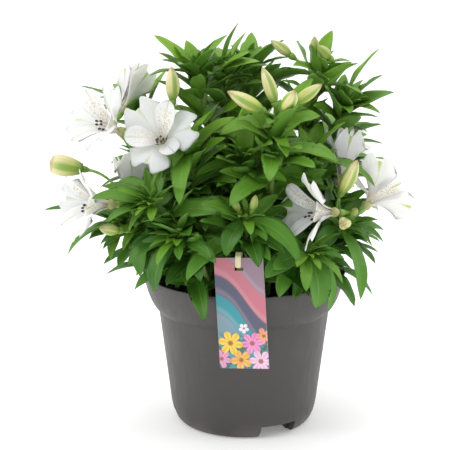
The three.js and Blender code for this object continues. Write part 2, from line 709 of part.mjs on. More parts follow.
const paints = {
  pot: { color: 0x6b6663, roughness: 0.55, metalness: 0 },
  soil: { color: 0x2c211a, roughness: 1, metalness: 0 },
  tag: { color: 0xb06a86, roughness: 0.4, metalness: 0 },
  stake: { color: 0xe8ddb0, roughness: 0.6, metalness: 0 },
  leaf: { color: 0x2f7a22, roughness: 0.45, metalness: 0 },
  stalk: { color: 0x8fae45, roughness: 0.5, metalness: 0 },
  tepal: { color: 0xf4f4ee, roughness: 0.6, metalness: 0 },
};

function meshOf(name, solid, paint) {
  const { vertProperties, triVerts } = solid.getMesh();
  const geometry = new THREE.BufferGeometry();
  geometry.setAttribute('position', new THREE.BufferAttribute(vertProperties, 3));
  geometry.setIndex(new THREE.BufferAttribute(triVerts, 1));
  geometry.computeVertexNormals();
  const mesh = new THREE.Mesh(geometry, new THREE.MeshStandardMaterial(paints[paint]));
  mesh.name = name;
  return mesh;
}

const numbered = (name, index) => `${name}_${String(index + 1).padStart(2, '0')}`;

const pot = potSolid();
const soil = soilSolid();
const tag = tagSolid();
const stake = stakeSolid();
const stems = shoots.map(stemSolid);
const heads = umbels.map(umbelSolid);
const blooms = umbels.flatMap((umbel) => umbel.blooms).map(bloomSolid);

const fixed = [pot, soil, tag, stake, tagView(), ...heads, ...blooms].map((solid) => {
  return { solid, box: boxOf(solid) };
});
const standing = stems.map((solid, index) => ({ solid, box: boxOf(solid), stemOf: index }));
const leaves = growLeaves([...fixed, ...standing]);

const container = new THREE.Group();
container.add(meshOf('pot', pot, 'pot'), meshOf('soil', soil, 'soil'));

const labelling = new THREE.Group();
labelling.add(meshOf('tag', tag, 'tag'), meshOf('tag_stake', stake, 'stake'));

const plant = new THREE.Group();
stems.forEach((stem, i) => {
  plant.add(meshOf(numbered('leafy_stem', i), joined([stem, ...leaves[i]]), 'leaf'));
});
heads.forEach((head, i) => plant.add(meshOf(numbered('umbel', i), head, 'stalk')));
blooms.forEach((bloom, i) => plant.add(meshOf(numbered('bloom', i), bloom, 'tepal')));

const group = new THREE.Group();
group.add(container, labelling, plant);
export default group;
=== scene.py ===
# Potted peruvian lily: the looks of the pot, peat, tag, leafy shoots, umbels and blooms.
# Sizes are millimetres in the part's own frame, as the solids have them, and meshes are made in metres.
import math

import bpy
import numpy as np
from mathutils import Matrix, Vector
from mathutils.kdtree import KDTree


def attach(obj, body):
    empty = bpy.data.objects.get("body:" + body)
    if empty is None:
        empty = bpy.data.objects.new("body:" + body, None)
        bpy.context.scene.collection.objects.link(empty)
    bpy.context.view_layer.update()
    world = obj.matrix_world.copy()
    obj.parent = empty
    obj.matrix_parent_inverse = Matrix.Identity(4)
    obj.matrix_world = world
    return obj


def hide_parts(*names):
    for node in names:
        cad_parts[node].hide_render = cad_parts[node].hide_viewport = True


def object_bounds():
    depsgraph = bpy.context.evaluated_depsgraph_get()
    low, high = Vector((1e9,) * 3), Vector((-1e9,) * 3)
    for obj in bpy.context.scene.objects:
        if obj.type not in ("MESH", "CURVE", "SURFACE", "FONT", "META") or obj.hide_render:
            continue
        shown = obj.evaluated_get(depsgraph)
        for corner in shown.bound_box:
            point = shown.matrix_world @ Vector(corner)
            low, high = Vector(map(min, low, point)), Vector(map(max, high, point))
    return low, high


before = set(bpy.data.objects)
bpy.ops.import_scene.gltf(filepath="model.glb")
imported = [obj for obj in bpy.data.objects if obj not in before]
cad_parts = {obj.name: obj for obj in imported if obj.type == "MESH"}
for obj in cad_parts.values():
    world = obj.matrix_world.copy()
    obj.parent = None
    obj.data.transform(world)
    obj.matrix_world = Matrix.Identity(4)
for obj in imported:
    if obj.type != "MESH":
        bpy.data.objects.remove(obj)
cad_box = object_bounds()

MM = 0.001
UP = np.array([0.0, 0.0, 1.0])

# Pot
RIM_RADIUS = 95.4
POT_HEIGHT = 147
COLLAR_BASE = 111
COLLAR_RADIUS = 81.2
COLLAR_STEP = 0.6
COLLAR_SPREAD = 9
COLLAR_LIFT = 7
CORNER_HEIGHT = 21
CORNER_RADIUS = 69.3
CORNER_PULL = 3
FOOT_RADIUS = 58
FOOT_WIDTH = 5
FOOT_EDGE = 0.5
INNER_FOOT = 61
WALL = 1.4
PAD_RADIUS = 22
PAD_SLOPE = 3
PAD_EDGE = 0.6
FLOOR_LIFT = 12
FLOOR = 2
NOTCH_COUNT = 3
NOTCH_HEIGHT = 12.3
NOTCH_WIDTH = 36.5
NOTCH_ANGLE = -60.5
DRAIN_COUNT = 6
DRAIN_RADIUS = 4
DRAIN_CIRCLE = 38
POT_SIDES = 144
POT_CREASE = 38

# Soil
SOIL_TOP = 137
SOIL_CROWN = 2
SOIL_EDGE = 3
SOIL_DIP = 2
SOIL_SIDES = 150
SOIL_RINGS = 55
LUMP_HEIGHT = 0.9
GRAIN_HEIGHT = 1.6
CRUMB_COUNT = 260
CRUMB_CIRCLE = 84
CRUMB_SIZES = (0.8, 2.6)
GAP = 0.3
HOLE_DEPTH = 26

# Tag and stake
TAG_WIDTH = 45
TAG_LENGTH = 103.5
TAG_THICKNESS = 0.7
TAG_TOP = 185
TAG_MIDDLE = -6.2
TAG_FRONT = -97.6
TAG_TILT = 3.3
TAG_YAW = 12
TAG_BOW = 0.5
TAG_CREASE = 40
CELL_REACH = 15
CELL_DROP = 6
SLOT_WIDTH = 8
SLOT_HEIGHT = 3.2
SLOT_DROP = 12
STAKE_WIDTH = 5.2
STAKE_THICKNESS = 1
STAKE_REACH = 90.5
STAKE_FOOT_REACH = 71
STAKE_FOOT = 100
STAKE_KNEE = 152
STAKE_BEND = 0.6

# Stems and leaves
STEM_ROOT = 2.7
STEM_BOW = 0.6
STEM_RINGS = 26
LEAF_LENGTH = 61
LEAF_HALF_WIDTH = 8.6
LEAF_WIDTHS = (0.85, 1.12)
LEAF_FOLD = 0.3
LEAF_SKIN = 0.5
LEAF_TURN = 50
TURN_REACH = 60
LEAF_BENDS = (32, 84)
BEND_START = 30
BEND_SPAN = 70
STEEPEST_RISE = 100
LEAF_SEATS = (0.98, 0.94, 0.9, 0.86, 0.82, 0.78, 0.74, 0.7, 0.64, 0.58)
SEAT_MARGIN = 3
LEAF_TRIES = 14
TRY_SHORTER = 0.015
TIP_FREEDOM = 1.2
RULE_FREEDOM = 3.2
ROLL_FREEDOM = 24
TIP_MATCH = 0.05
GOLDEN_ANGLE = 137.5
RULE_TOP = 0.96
RULE_START = 170
RULE_SPAN = 120
RULE_FOOT = 20
RULE_RISES = (-30, 52)
RULE_SIZES = (0.9, 1.1)
RISE_FREEDOM = 24
OUTWARD_PULL = 0.45
CROWN_RADIUS = 105
CROWN_SHOULDER = 290
CROWN_DOME = 125
CROWN_TOP = 362
YOUTH_START = 200
YOUTH_SPAN = 150
LEAF_GRID = (18, 9)

# Small leaves that only the looks have
SMALL_GRID = (12, 7)
FILLERS = 90
FILLER_SEATS = (0.97, 0.12)
FILLER_SIZES = (32, 62)
FILLER_RISES = (-25, 60)
FILLER_BREADTH = 0.16
FILLER_ROOM = 1.4
TUFT_LEANS = (76, 10)
TUFT_BREADTH = 0.15
TUFT_ROOM = 1.2
TUFT_LEAVES = 18
TUFT_LENGTHS = (42, 56)
TUFT_START = 260
TUFT_SPAN = 60
HEADED_LEAVES = 11
HEADED_LENGTH = 36
FLOWER_ROOM = 2.6
BOX_MARGIN = 2
TAG_MARGIN = 3
POT_MARGIN = 6
RIM_MARGIN = 12

# Umbels
HEAD_HEART = 3.2
HEAD_LENGTH = 7
STALK_RADIUS = 1.45
STALK_WAIST = 0.35
OVARY_LENGTH = 8
OVARY_RADIUS = 3.3
BUD_OVARY_LENGTH = 7
BUD_OVARY_RADIUS = 3.1
RIPE_GIRTH = 6

# Blooms
TEPAL_LENGTH = 51
TEPAL_SEAT = 4
TEPAL_SKIN = 0.5
TEPAL_GRID = (26, 17)
OUTER_HALF_WIDTH = 20
INNER_HALF_WIDTH = 10.5
OUTER_SEAT = 2.8
INNER_SEAT = 1
OUTER_RISE = 80
CLOSED_RISE = 90
FULL_OPEN = 66
INNER_LEAN = 4
INNER_CLOSING = 8
LOWEST_SHARE = 0.78
CLOSED_BREADTH = 0.62
STAMENS = 6
STAMEN_REACH = 33
STAMEN_DROOP = 4
STAMEN_RADIUS = 0.55

# Print of the tag: bands as (start, slope, waviness, colour) in shares of the card, then blossoms
BANDS = [
    (0.5, -0.5, 0.05, (0.03, 0.3, 0.35)),
    (0.66, -0.45, 0.06, (0.085, 0.095, 0.155)),
    (0.84, -0.4, 0.05, (0.56, 0.17, 0.22)),
    (1.02, -0.34, 0.05, (0.3, 0.2, 0.26)),
]
BLOSSOMS = [
    dict(x=42, y=31, size=8, petals=5, turn=0.6, colour=(0.78, 0.3, 0.16)),
    dict(x=31, y=24, size=10.5, petals=6, turn=0.9, colour=(0.72, 0.22, 0.46)),
    dict(x=2, y=9, size=9, petals=6, turn=1.3, colour=(0.74, 0.3, 0.5)),
    dict(x=38, y=7, size=11, petals=6, turn=0.1, colour=(0.8, 0.44, 0.62)),
    dict(x=20, y=8, size=10, petals=5, turn=0.5, colour=(0.84, 0.4, 0.08)),
    dict(x=11, y=24, size=11.5, petals=6, turn=0.2, colour=(0.86, 0.52, 0.04)),
    dict(x=24, y=38, size=5, petals=5, turn=0.3, colour=(0.86, 0.7, 0.78)),
]

# Stage, in metres and watts, with the camera's sensor and lens in millimetres
WORLD_FRONT = 0.5
WORLD_BACK = 1.15
FLOOR_GLOW = 0.2
FLOOR_CORNERS = [(-6, -6, 0), (6, -6, 0), (6, 9, 0), (-6, 9, 0)]
# Each lamp's name, place, size and power
LAMPS = [
    ("key", (-1.6, -0.9, 1.5), 1.0, 14),
    ("fill", (1.7, -0.4, 1.2), 1.0, 5),
    ("top", (0.1, 0.3, 2.2), 1.2, 9),
]
LAMP_TARGET = (0, 0, 0.2)
EYE = (-0.018, -1.7, 0.6356)
EYE_TARGET = (-0.018, 0, 0.1896)
SENSOR = 36
LENS = 149.8
SIGHT = 50


# What grows where
def shoot_from(soil, top, tips=(), thick=2, leaves=6, lowest=0.5):
    """A shoot from its hole to its top: the tips that leaves reach for, each with how broad that leaf is
    where it differs, then how many leaves follow the rule and how low on the stem they start."""
    return dict(soil=soil, top=top, tips=tips, thick=thick, leaves=leaves, lowest=lowest)


def bloom_at(seat, faces, turn, opened):
    return dict(seat=seat, faces=faces, turn=turn, open=opened)


def bud_at(seat, tip, girth, blunt=0):
    return dict(seat=seat, tip=tip, girth=girth, blunt=blunt)


SHOOTS = [
    shoot_from([-48, -16], [-80, -26, 258], thick=2.6, leaves=5, lowest=0.6),
    shoot_from(
        [-62, -32], [-95, -50, 202],
        [[-94, -88, 165, 1.2], [-82, -98, 153], [-54, -110, 180, 1.2]],
        thick=2.4, leaves=4, lowest=0.45,
    ),
    shoot_from([21, -62], [28, -70, 303], [[71, -95, 343]], thick=3.2, leaves=11, lowest=0.25),
    shoot_from(
        [40, 2], [71, 0, 341],
        [[53, 0, 377], [96, 6, 385], [75, 20, 379], [42, 20, 377], [104, -20, 347], [38, 10, 328, 1.2],
         [100, 20, 341]],
        thick=2.4, lowest=0.7,
    ),
    shoot_from(
        [62, -34], [88, -52, 200],
        [[104, -84, 142, 1.1], [107, -70, 165, 1.3], [114, -44, 176]],
        thick=2.6, lowest=0.3,
    ),
    shoot_from(
        [2, -72], [1, -93, 219],
        [[-52, -112, 168, 1.1], [-17, -104, 187], [47, -112, 184], [-53, -106, 154, 1.1],
         [-47, -102, 190], [3, -104, 189]],
        thick=2.2, leaves=4, lowest=0.35,
    ),
    shoot_from(
        [-26, -4], [-44, -10, 334],
        [[-83, 0, 369], [-54, 10, 363], [-80, -20, 356], [-27, 15, 368], [-72, -4, 324, 1.2],
         [-63, -14, 308, 1.2]],
        thick=1.9, lowest=0.66,
    ),
    shoot_from(
        [-8, 10], [-21, 10, 324],
        [[-5, 5, 381], [2, 25, 369], [24, 10, 378], [-13, -15, 367]],
        thick=1.9, leaves=7, lowest=0.66,
    ),
    shoot_from(
        [-47, -54], [-82, -98, 233],
        [[-141, -100, 240], [-91, -118, 223], [-46, -112, 251], [-49, -120, 211], [-49, -110, 259]],
        leaves=5,
    ),
    shoot_from(
        [0, -38], [0, -60, 266],
        [[-7, -100, 268], [9, -105, 267], [8, -105, 231], [-12, -85, 249], [5, -50, 322]],
    ),
    shoot_from(
        [-30, -34], [-54, -60, 275],
        [[-43, -95, 306], [-35, -100, 284], [-57, -110, 237]],
        leaves=7,
    ),
    shoot_from(
        [60, 8], [91, 0, 301],
        [[124, 0, 357], [129, 5, 332, 1.2], [138, 0, 316, 1.4], [127, -5, 287, 1.4],
         [127, -20, 273, 1.3]],
        lowest=0.62,
    ),
    shoot_from(
        [37, -63], [56, -95, 187],
        [[63, -104, 140, 1.4], [18, -108, 169, 1.1], [47, -108, 152, 1.2], [85, -95, 134],
         [84, -110, 170], [51, -112, 206], [62, -112, 187]],
        leaves=3,
    ),
    shoot_from(
        [-32, -66], [-60, -95, 201],
        [[-79, -106, 156, 1.2], [-70, -108, 162], [-88, -108, 171], [-54, -120, 185], [-104, -82, 163],
         [-36, -108, 158, 1.1]],
        leaves=3,
    ),
    shoot_from(
        [-71, -12], [-112, -40, 200],
        [[-185, -32, 212], [-162, -50, 174], [-115, -62, 165], [-128, -72, 186]],
    ),
    shoot_from(
        [-60, 8], [-104, 6, 300],
        [[-132, 15, 346], [-127, 25, 345], [-106, 10, 347], [-152, 5, 321], [-131, -10, 334],
         [-97, -5, 352], [-87, 8, 343, 1.2], [-71, 14, 336, 1.2]],
        lowest=0.6,
    ),
    shoot_from(
        [40, -28], [60, -48, 262],
        [[117, -60, 241], [72, -82, 262], [77, -85, 297], [100, -40, 292]],
    ),
    shoot_from([-26, 40], [-50, 68, 226], thick=2.4, leaves=5),
    shoot_from([34, 44], [60, 70, 218], thick=2.4, leaves=5),
    shoot_from([4, 34], [4, 46, 326], [[30, 44, 340, 1.2], [34, 40, 316, 1.2]], leaves=7, lowest=0.6),
    shoot_from([-64, 26], [-98, 48, 240], lowest=0.35),
    shoot_from([66, 30], [94, 50, 242], lowest=0.35),
    shoot_from([0, 72], [0, 104, 238], lowest=0.35),
    shoot_from([-34, 62], [-62, 98, 212], leaves=5, lowest=0.35),
    shoot_from([36, 62], [62, 100, 206], leaves=5, lowest=0.35),
    shoot_from([72, 2], [84, 6, 204], leaves=5, lowest=0.35),
]

# The flowers of each umbel, by the number of its shoot
UMBELS = {
    0: [
        bloom_at([-72, -58, 279], [-0.13, -0.87, 0.48], 13, 68),
        bloom_at([-108, -48, 287], [-0.7, -0.49, 0.52], 76, 65),
        bloom_at([-114, -20, 300], [0.33, 0.67, 0.66], 40, 24),
        bud_at([-65, -46, 318], [-66, -44, 348], 6.2),
    ],
    1: [
        bloom_at([-116, -62, 225], [-0.9, -0.42, 0.12], 60, 60),
        bloom_at([-103, -26, 209], [-0.06, 0.25, 0.96], 90, 20),
        bud_at([-148, -36, 252], [-178, -36, 258], 9.5, blunt=1),
        bud_at([-113, -82, 206], [-130, -92, 211], 5),
    ],
    2: [
        bud_at([26, -64, 319], [15, -60, 350], 5.8),
        bud_at([14, -76, 315], [-16, -90, 334], 6.2),
        bud_at([34, -84, 316], [43, -100, 336], 6.2),
        bud_at([44, -68, 320], [68, -66, 336], 5.6),
    ],
    3: [
        bud_at([42, 4, 350], [24, 8, 363], 4.8),
        bud_at([63, 0, 351], [64, 0, 368], 4.4),
        bud_at([77, -8, 350], [66, -15, 362], 4.8),
    ],
    4: [
        bloom_at([87, -38, 235], [0.1, 0.35, 0.93], 7, 24),
        bloom_at([107, -54, 219], [0.63, 0.65, 0.42], 216, 73),
        bloom_at([84, -79, 222], [-0.9, -0.42, 0.12], 74, 64),
        bud_at([87, -64, 237], [100, -74, 269], 6.6),
        bud_at([90, -86, 214], [86, -100, 217], 5.6, blunt=0.5),
        bud_at([95, -72, 217], [100, -80, 226], 3.2),
    ],
    5: [
        bud_at([-6, -97, 228], [-12, -101, 241], 3.4),
        bud_at([6, -98, 229], [9, -103, 244], 3.6),
    ],
    17: [
        bloom_at([-68, 96, 242], [-0.5, 0.82, 0.28], 20, 66),
        bud_at([-34, 92, 240], [-26, 110, 262], 5.4),
    ],
    18: [
        bloom_at([78, 96, 232], [0.5, 0.84, 0.2], 45, 64),
        bloom_at([44, 92, 240], [-0.2, 0.8, 0.56], 10, 48),
        bud_at([66, 84, 246], [74, 92, 274], 5.2),
    ],
}


# Numbers and curves
def chance(a, b, c):
    """A repeatable number from 0 to 1 for any set of whole numbers."""
    wave = math.sin(a * 12.9898 + b * 78.233 + c * 37.719) * 43758.5453
    return wave - math.floor(wave)


def mix(low, high, t):
    return low + (high - low) * t


def limit(value, low, high):
    return min(max(value, low), high)


def unit(vector):
    return vector / np.linalg.norm(vector)


def steps(count):
    """Even steps from 0 to 1."""
    return np.linspace(0, 1, count)


def compass(angle):
    """A level direction."""
    return np.array([math.cos(angle), math.sin(angle), 0])


def quadratic(start, control, end, t):
    """Points of a quadratic Bezier curve at one place or a list of them."""
    start, control, end = (np.asarray(point, float) for point in (start, control, end))
    t = np.asarray(t, float)[..., None]
    return (1 - t) ** 2 * start + 2 * t * (1 - t) * control + t * t * end


# Meshes
POINT_SIZE = 1e-4
PLAIN = (0.5, 0.5)


def placed(name, data):
    """A new object in the scene."""
    thing = bpy.data.objects.new(name, data)
    bpy.context.scene.collection.objects.link(thing)
    return thing


class Form:
    """Closed skins of rings of points, gathered into one mesh with UVs, tints and paint numbers."""

    def __init__(self):
        self.points = []
        self.faces = []
        self.uvs = []
        self.tints = []
        self.paints = []

    def add(self, corners, tint, under, paint):
        """One face from corners of (point number, u, v), without the ones that fall together."""
        kept = [c for i, c in enumerate(corners) if c[0] != corners[i - 1][0]]
        self.faces.append([c[0] for c in kept])
        self.uvs.extend((c[1], c[2]) for c in kept)
        self.tints.extend((*tint, under, 1.0) for _ in kept)
        self.paints.append(paint)

    def numbers(self, ring):
        """Takes in a ring and gives its points' numbers, all alike where the ring is a mere point."""
        first = len(self.points)
        if np.ptp(ring, axis=0).max() < POINT_SIZE:
            self.points.append(ring[0])
            return [first] * len(ring)
        self.points.extend(ring)
        return list(range(first, first + len(ring)))

    def skin(self, rings, paint=0, tint=PLAIN, across=None, under=None, columns=0):
        """A skin through rings that run anticlockwise about their path. `across` has one value more than
        a ring has points. A blade's ends are closed column by column and a tube's by a fan."""
        rows, count = rings.shape[:2]
        along = steps(rows)
        across = steps(count + 1) if across is None else across
        under = under or [0.0] * count
        index = [self.numbers(ring) for ring in rings]
        for row in range(rows - 1):
            low, high = index[row], index[row + 1]
            v, w = along[row], along[row + 1]
            for i in range(count):
                j = (i + 1) % count
                corners = [(low[i], across[i], v), (low[j], across[i + 1], v)]
                corners += [(high[j], across[i + 1], w), (high[i], across[i], w)]
                self.add(corners, tint, under[i], paint)
        for row, order in ((0, -1), (rows - 1, 1)):
            ends, v = index[row], along[row]
            if ends[0] == ends[1]:
                continue
            if columns:
                for i in range(columns - 1):
                    low, high = (count - i) % count, count - i - 1
                    corners = [(ends[i], across[i], v), (ends[i + 1], across[i + 1], v)]
                    corners += [(ends[high], across[i + 1], v), (ends[low], across[i], v)]
                    self.add(corners[::order], tint, 0.0, paint)
            else:
                middle = len(self.points)
                self.points.append(rings[row].mean(axis=0))
                for i in range(count):
                    corners = [(ends[i], across[i], v), (ends[(i + 1) % count], across[i + 1], v)]
                    corners.append((middle, across[i], v))
                    self.add(corners[::order], tint, 0.0, paint)

    def tube(self, path, radii, sides, paint=0, tint=PLAIN, lobes=None):
        self.skin(round_rings(path, radii, sides, lobes), paint, tint)

    def blade(self, rings, paint=0, tint=PLAIN):
        """A leaf or tepal, whose rings go across its top and back across its underside."""
        columns = rings.shape[1] // 2 + 1
        u = steps(columns)
        under = [0.0] * (columns - 1) + [1.0] * (columns - 1)
        self.skin(rings, paint, tint, np.concatenate([u, u[-2::-1]]), under, columns)

    def mesh(self, name):
        mesh = bpy.data.meshes.new(name)
        mesh.from_pydata(np.array(self.points) * MM, [], self.faces)
        return mesh

    def make(self, name, paints, slot, nodes, crease=None):
        """The piece, riding on the body and standing for its nodes, with sharp edges where they turn by
        more than `crease` degrees."""
        mesh = self.mesh(name)
        mesh.uv_layers.new(name="UVMap").data.foreach_set("uv", np.array(self.uvs, np.float32).ravel())
        tints = mesh.color_attributes.new("tint", "FLOAT_COLOR", "CORNER")
        tints.data.foreach_set("color", np.array(self.tints, np.float32).ravel())
        for paint in paints:
            mesh.materials.append(paint.material)
        mesh.polygons.foreach_set("material_index", self.paints)
        mesh.polygons.foreach_set("use_smooth", [True] * len(mesh.polygons))
        if crease:
            mesh.set_sharp_from_angle(angle=math.radians(crease))
        piece = placed(name, mesh)
        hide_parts(*nodes)
        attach(piece, "root")
        return piece


def round_rings(path, radii, sides, lobes=None):
    """Rings round a path, each turned as little as can be from the last."""
    path = np.asarray(path, float)
    last = len(path) - 1
    angles = np.arange(sides) / sides * 2 * math.pi
    side = np.array([1.0, 0.0, 0.0])
    if abs(unit(path[1] - path[0])[0]) > 0.9:
        side = np.array([0.0, 1.0, 0.0])
    rings = []
    for row in range(last + 1):
        along = unit(path[min(row + 1, last)] - path[max(row - 1, 0)])
        side = unit(side - along * side.dot(along))
        other = np.cross(along, side)
        radius = radii[row] * (lobes(angles, row / last) if lobes else 1)
        ring = np.outer(np.cos(angles) * radius, side) + np.outer(np.sin(angles) * radius, other)
        rings.append(path[row] + ring)
    return np.array(rings)


def blade_rings(root, out, up, rise, bend, length, shape, grid, skin, roll=0.0):
    """Rings of a thin closed blade on the arc that the solid blade has. `shape` gives the place along
    the arc, the half width, the lift off the arc and the twist for every point of the grid."""
    rows, columns = grid
    u = np.linspace(-1, 1, columns)[None, :]
    t = steps(rows)[:, None]
    place, half, lift, twist = (x[..., None] for x in np.broadcast_arrays(*shape(u, t)))
    angle = rise - bend * place
    reach = length / bend * (math.sin(rise) - np.sin(angle))
    height = length / bend * (np.cos(angle) - math.cos(rise))
    across = np.cross(out, up)
    flat = -np.sin(angle) * out + np.cos(angle) * up
    turn = roll + twist
    side = across * np.cos(turn) + flat * np.sin(turn)
    normal = flat * np.cos(turn) - across * np.sin(turn)
    middle = root + out * reach + up * height + side * u[..., None] * half + normal * lift
    body = skin / 2 * np.sqrt(np.clip(1 - u ** 2, 0, 1)) * np.clip(12 * (1 - t), 0, 1)
    top = middle + normal * body[..., None]
    bottom = middle - normal * body[..., None]
    return np.concatenate([top, bottom[:, -2:0:-1]], axis=1)


# Paints: their numbers on a shoot, on an umbel and on a bloom
STEM, LEAF = range(2)
STALK, BUD = range(2)
OUTER, INNER, FILAMENT, ANTHER, BASE = range(5)


class Wire:
    """What comes out of a node, ready for plain arithmetic."""

    def __init__(self, paint, socket):
        self.paint = paint
        self.socket = socket

    def __add__(self, other):
        return self.paint.math("ADD", self, other)

    def __sub__(self, other):
        return self.paint.math("SUBTRACT", self, other)

    def __rsub__(self, other):
        return self.paint.math("SUBTRACT", other, self)

    def __mul__(self, other):
        return self.paint.math("MULTIPLY", self, other)

    def __truediv__(self, other):
        return self.paint.math("DIVIDE", self, other)

    def __abs__(self):
        return self.paint.math("ABSOLUTE", self)

    def band(self, start, end, low=0.0, high=1.0):
        """Goes smoothly from `low` to `high` as the wire goes from `start` to `end`."""
        inputs = {"Value": self, "From Min": start, "From Max": end, "To Min": low, "To Max": high}
        return self.paint.node("MapRange", inputs, interpolation_type="SMOOTHSTEP")


def opaque(colour):
    return colour if isinstance(colour, Wire) else (*colour, 1.0)


class Paint:
    """A procedural material, with short ways to add its nodes."""

    def __init__(self, name, roughness, **settings):
        self.material = bpy.data.materials.new(name)
        self.material.use_nodes = True
        self.tree = self.material.node_tree
        self.shader = self.tree.nodes["Principled BSDF"]
        for socket, value in {"Roughness": roughness, **settings}.items():
            self.shader.inputs[socket.replace("_", " ")].default_value = value

    def node(self, kind, inputs, output=0, **settings):
        new = self.tree.nodes.new("ShaderNode" + kind)
        for key, value in settings.items():
            setattr(new, key, value)
        for key, value in inputs.items():
            if isinstance(value, Wire):
                self.tree.links.new(value.socket, new.inputs[key])
            else:
                new.inputs[key].default_value = value
        return Wire(self, new.outputs[output])

    def parts(self, kind, whole):
        """The three parts of a place or a colour."""
        split = self.tree.nodes.new("ShaderNodeSeparate" + kind)
        self.tree.links.new(whole.socket, split.inputs[0])
        return [Wire(self, output) for output in split.outputs[:3]]

    def math(self, operation, a, b=0.0):
        return self.node("Math", {0: a, 1: b}, operation=operation)

    def blend(self, factor, low, high):
        return self.node("MixRGB", {"Fac": factor, "Color1": opaque(low), "Color2": opaque(high)})

    def uv(self):
        """How far across and along the piece a point is, each from 0 to 1."""
        return self.parts("XYZ", self.node("TexCoord", {}, "UV"))[:2]

    def place(self):
        """A point's place on the object, in metres."""
        return self.node("TexCoord", {}, "Object")

    def tint(self):
        """The piece's own chance, its youth, and whether it is an underside."""
        return self.parts("Color", self.node("Attribute", {}, "Color", attribute_name="tint"))

    def joined(self, x, y, z=0.0):
        return self.node("CombineXYZ", {0: x, 1: y, 2: z})

    def noise(self, scale, detail, roughness=0.5, at=None):
        inputs = {"Vector": at or self.place(), "Scale": scale, "Detail": detail, "Roughness": roughness}
        return self.node("TexNoise", inputs, "Fac")

    def streaks(self, across, along, count, detail):
        """Noise drawn out along the piece."""
        return self.noise(1.0, detail, at=self.joined(across * count, along))

    def stripes(self, across, count):
        """From 0 at the edges of even stripes to 0.5 in their middles."""
        return self.math("PINGPONG", across * count, 0.5)

    def plug(self, wire, socket):
        self.tree.links.new(wire.socket, self.shader.inputs[socket])

    def base(self, factor, low, high):
        """The first colour, a blend of two, which the coats are laid over."""
        self.colour = self.blend(factor, low, high)
        self.plug(self.colour, "Base Color")

    def coat(self, amount, colour):
        """One more colour over what is there, where and as much as `amount` says."""
        self.base(amount, self.colour, colour)

    def bump(self, height, distance, strength):
        inputs = {"Height": height, "Distance": distance * MM, "Strength": strength}
        self.plug(self.node("Bump", inputs), "Normal")


def leaf_paint():
    """Green with parallel veins, a paler midrib, edge, foot and underside, and yellower where young."""
    paint = Paint("leaf_green", 0.4, Specular_IOR_Level=0.4)
    across, along = paint.uv()
    own, youth, under = paint.tint()
    side = abs(across - 0.5) * 2
    vein = paint.stripes(across, 13).band(0.08, 0.3, 1, 0)
    rib = side.band(0, 0.07, 1, 0)
    edge = side.band(0.93, 1, 0, 0.45)
    foot = along.band(0.22, 0.02, 0, 0.6)
    pale = paint.math("MAXIMUM", paint.math("MAXIMUM", rib * 0.5, edge), foot)
    paint.base(own, (0.029, 0.12, 0.009), (0.09, 0.27, 0.017))
    paint.coat(youth, (0.24, 0.46, 0.03))
    paint.coat(paint.noise(55, 3).band(0.35, 0.7, 0, 0.3), (0.09, 0.27, 0.02))
    paint.coat(vein * 0.2, (0.16, 0.38, 0.045))
    paint.coat(pale, (0.22, 0.42, 0.06))
    paint.coat(under * 0.5, (0.1, 0.23, 0.05))
    paint.plug(paint.noise(140, 2).band(0.3, 0.7, 0.34, 0.5), "Roughness")
    paint.bump(vein * 0.35 + rib * -0.9 + paint.noise(900, 2) * 0.3, 0.22, 0.8)
    return paint


def stem_paint():
    """Yellow-green at the top and duller below, with fine streaks along the stem."""
    paint = Paint("stem_green", 0.45)
    across, along = paint.uv()
    streak = paint.streaks(across, along, 14, 3)
    paint.base(along, (0.09, 0.13, 0.03), (0.24, 0.4, 0.07))
    paint.coat(streak.band(0.4, 0.7, 0, 0.5), (0.32, 0.46, 0.14))
    paint.bump(streak, 0.25, 0.6)
    return paint


def stalk_paint():
    """The green of stalks and ovaries, lighter on their ribs."""
    paint = Paint("stalk_green", 0.42)
    across = paint.uv()[0]
    rib = paint.stripes(across, 6).band(0.1, 0.45)
    blotch = paint.noise(160, 3).band(0.35, 0.7)
    paint.base(blotch, (0.13, 0.3, 0.035), (0.24, 0.42, 0.06))
    paint.coat(rib * 0.35, (0.36, 0.46, 0.12))
    paint.bump(rib, 0.2, 0.6)
    return paint


def bud_paint():
    """Cream and yellow-green, with a green stripe on each folded tepal and a browned tip."""
    paint = Paint("bud_cream", 0.42)
    across, along = paint.uv()
    own, unripe = paint.tint()[:2]
    fold = paint.stripes(across, 3)
    streak = paint.streaks(across, along, 46, 2)
    browned = along.band(0.8, 1) * paint.noise(260, 2).band(0.35, 0.6, 0.4, 1)
    paint.base(own, (0.58, 0.64, 0.14), (0.78, 0.74, 0.34))
    paint.coat(along.band(0.3, 0.75, 0, 0.5), (0.88, 0.78, 0.54))
    paint.coat(fold.band(0.22, 0.4) * along.band(0.98, 0.6, 0.4, 1) * 0.85, (0.2, 0.4, 0.03))
    paint.coat(along.band(0.34, 0, 0, 0.85), (0.2, 0.38, 0.05))
    paint.coat(unripe * 0.75, (0.22, 0.33, 0.04))
    paint.coat(browned * 0.8, (0.36, 0.17, 0.09))
    paint.coat(streak.band(0.5, 0.75, 0, 0.3), (0.55, 0.36, 0.2))
    paint.bump(streak + fold.band(0, 0.12, 0, 1.6), 0.3, 0.8)
    return paint


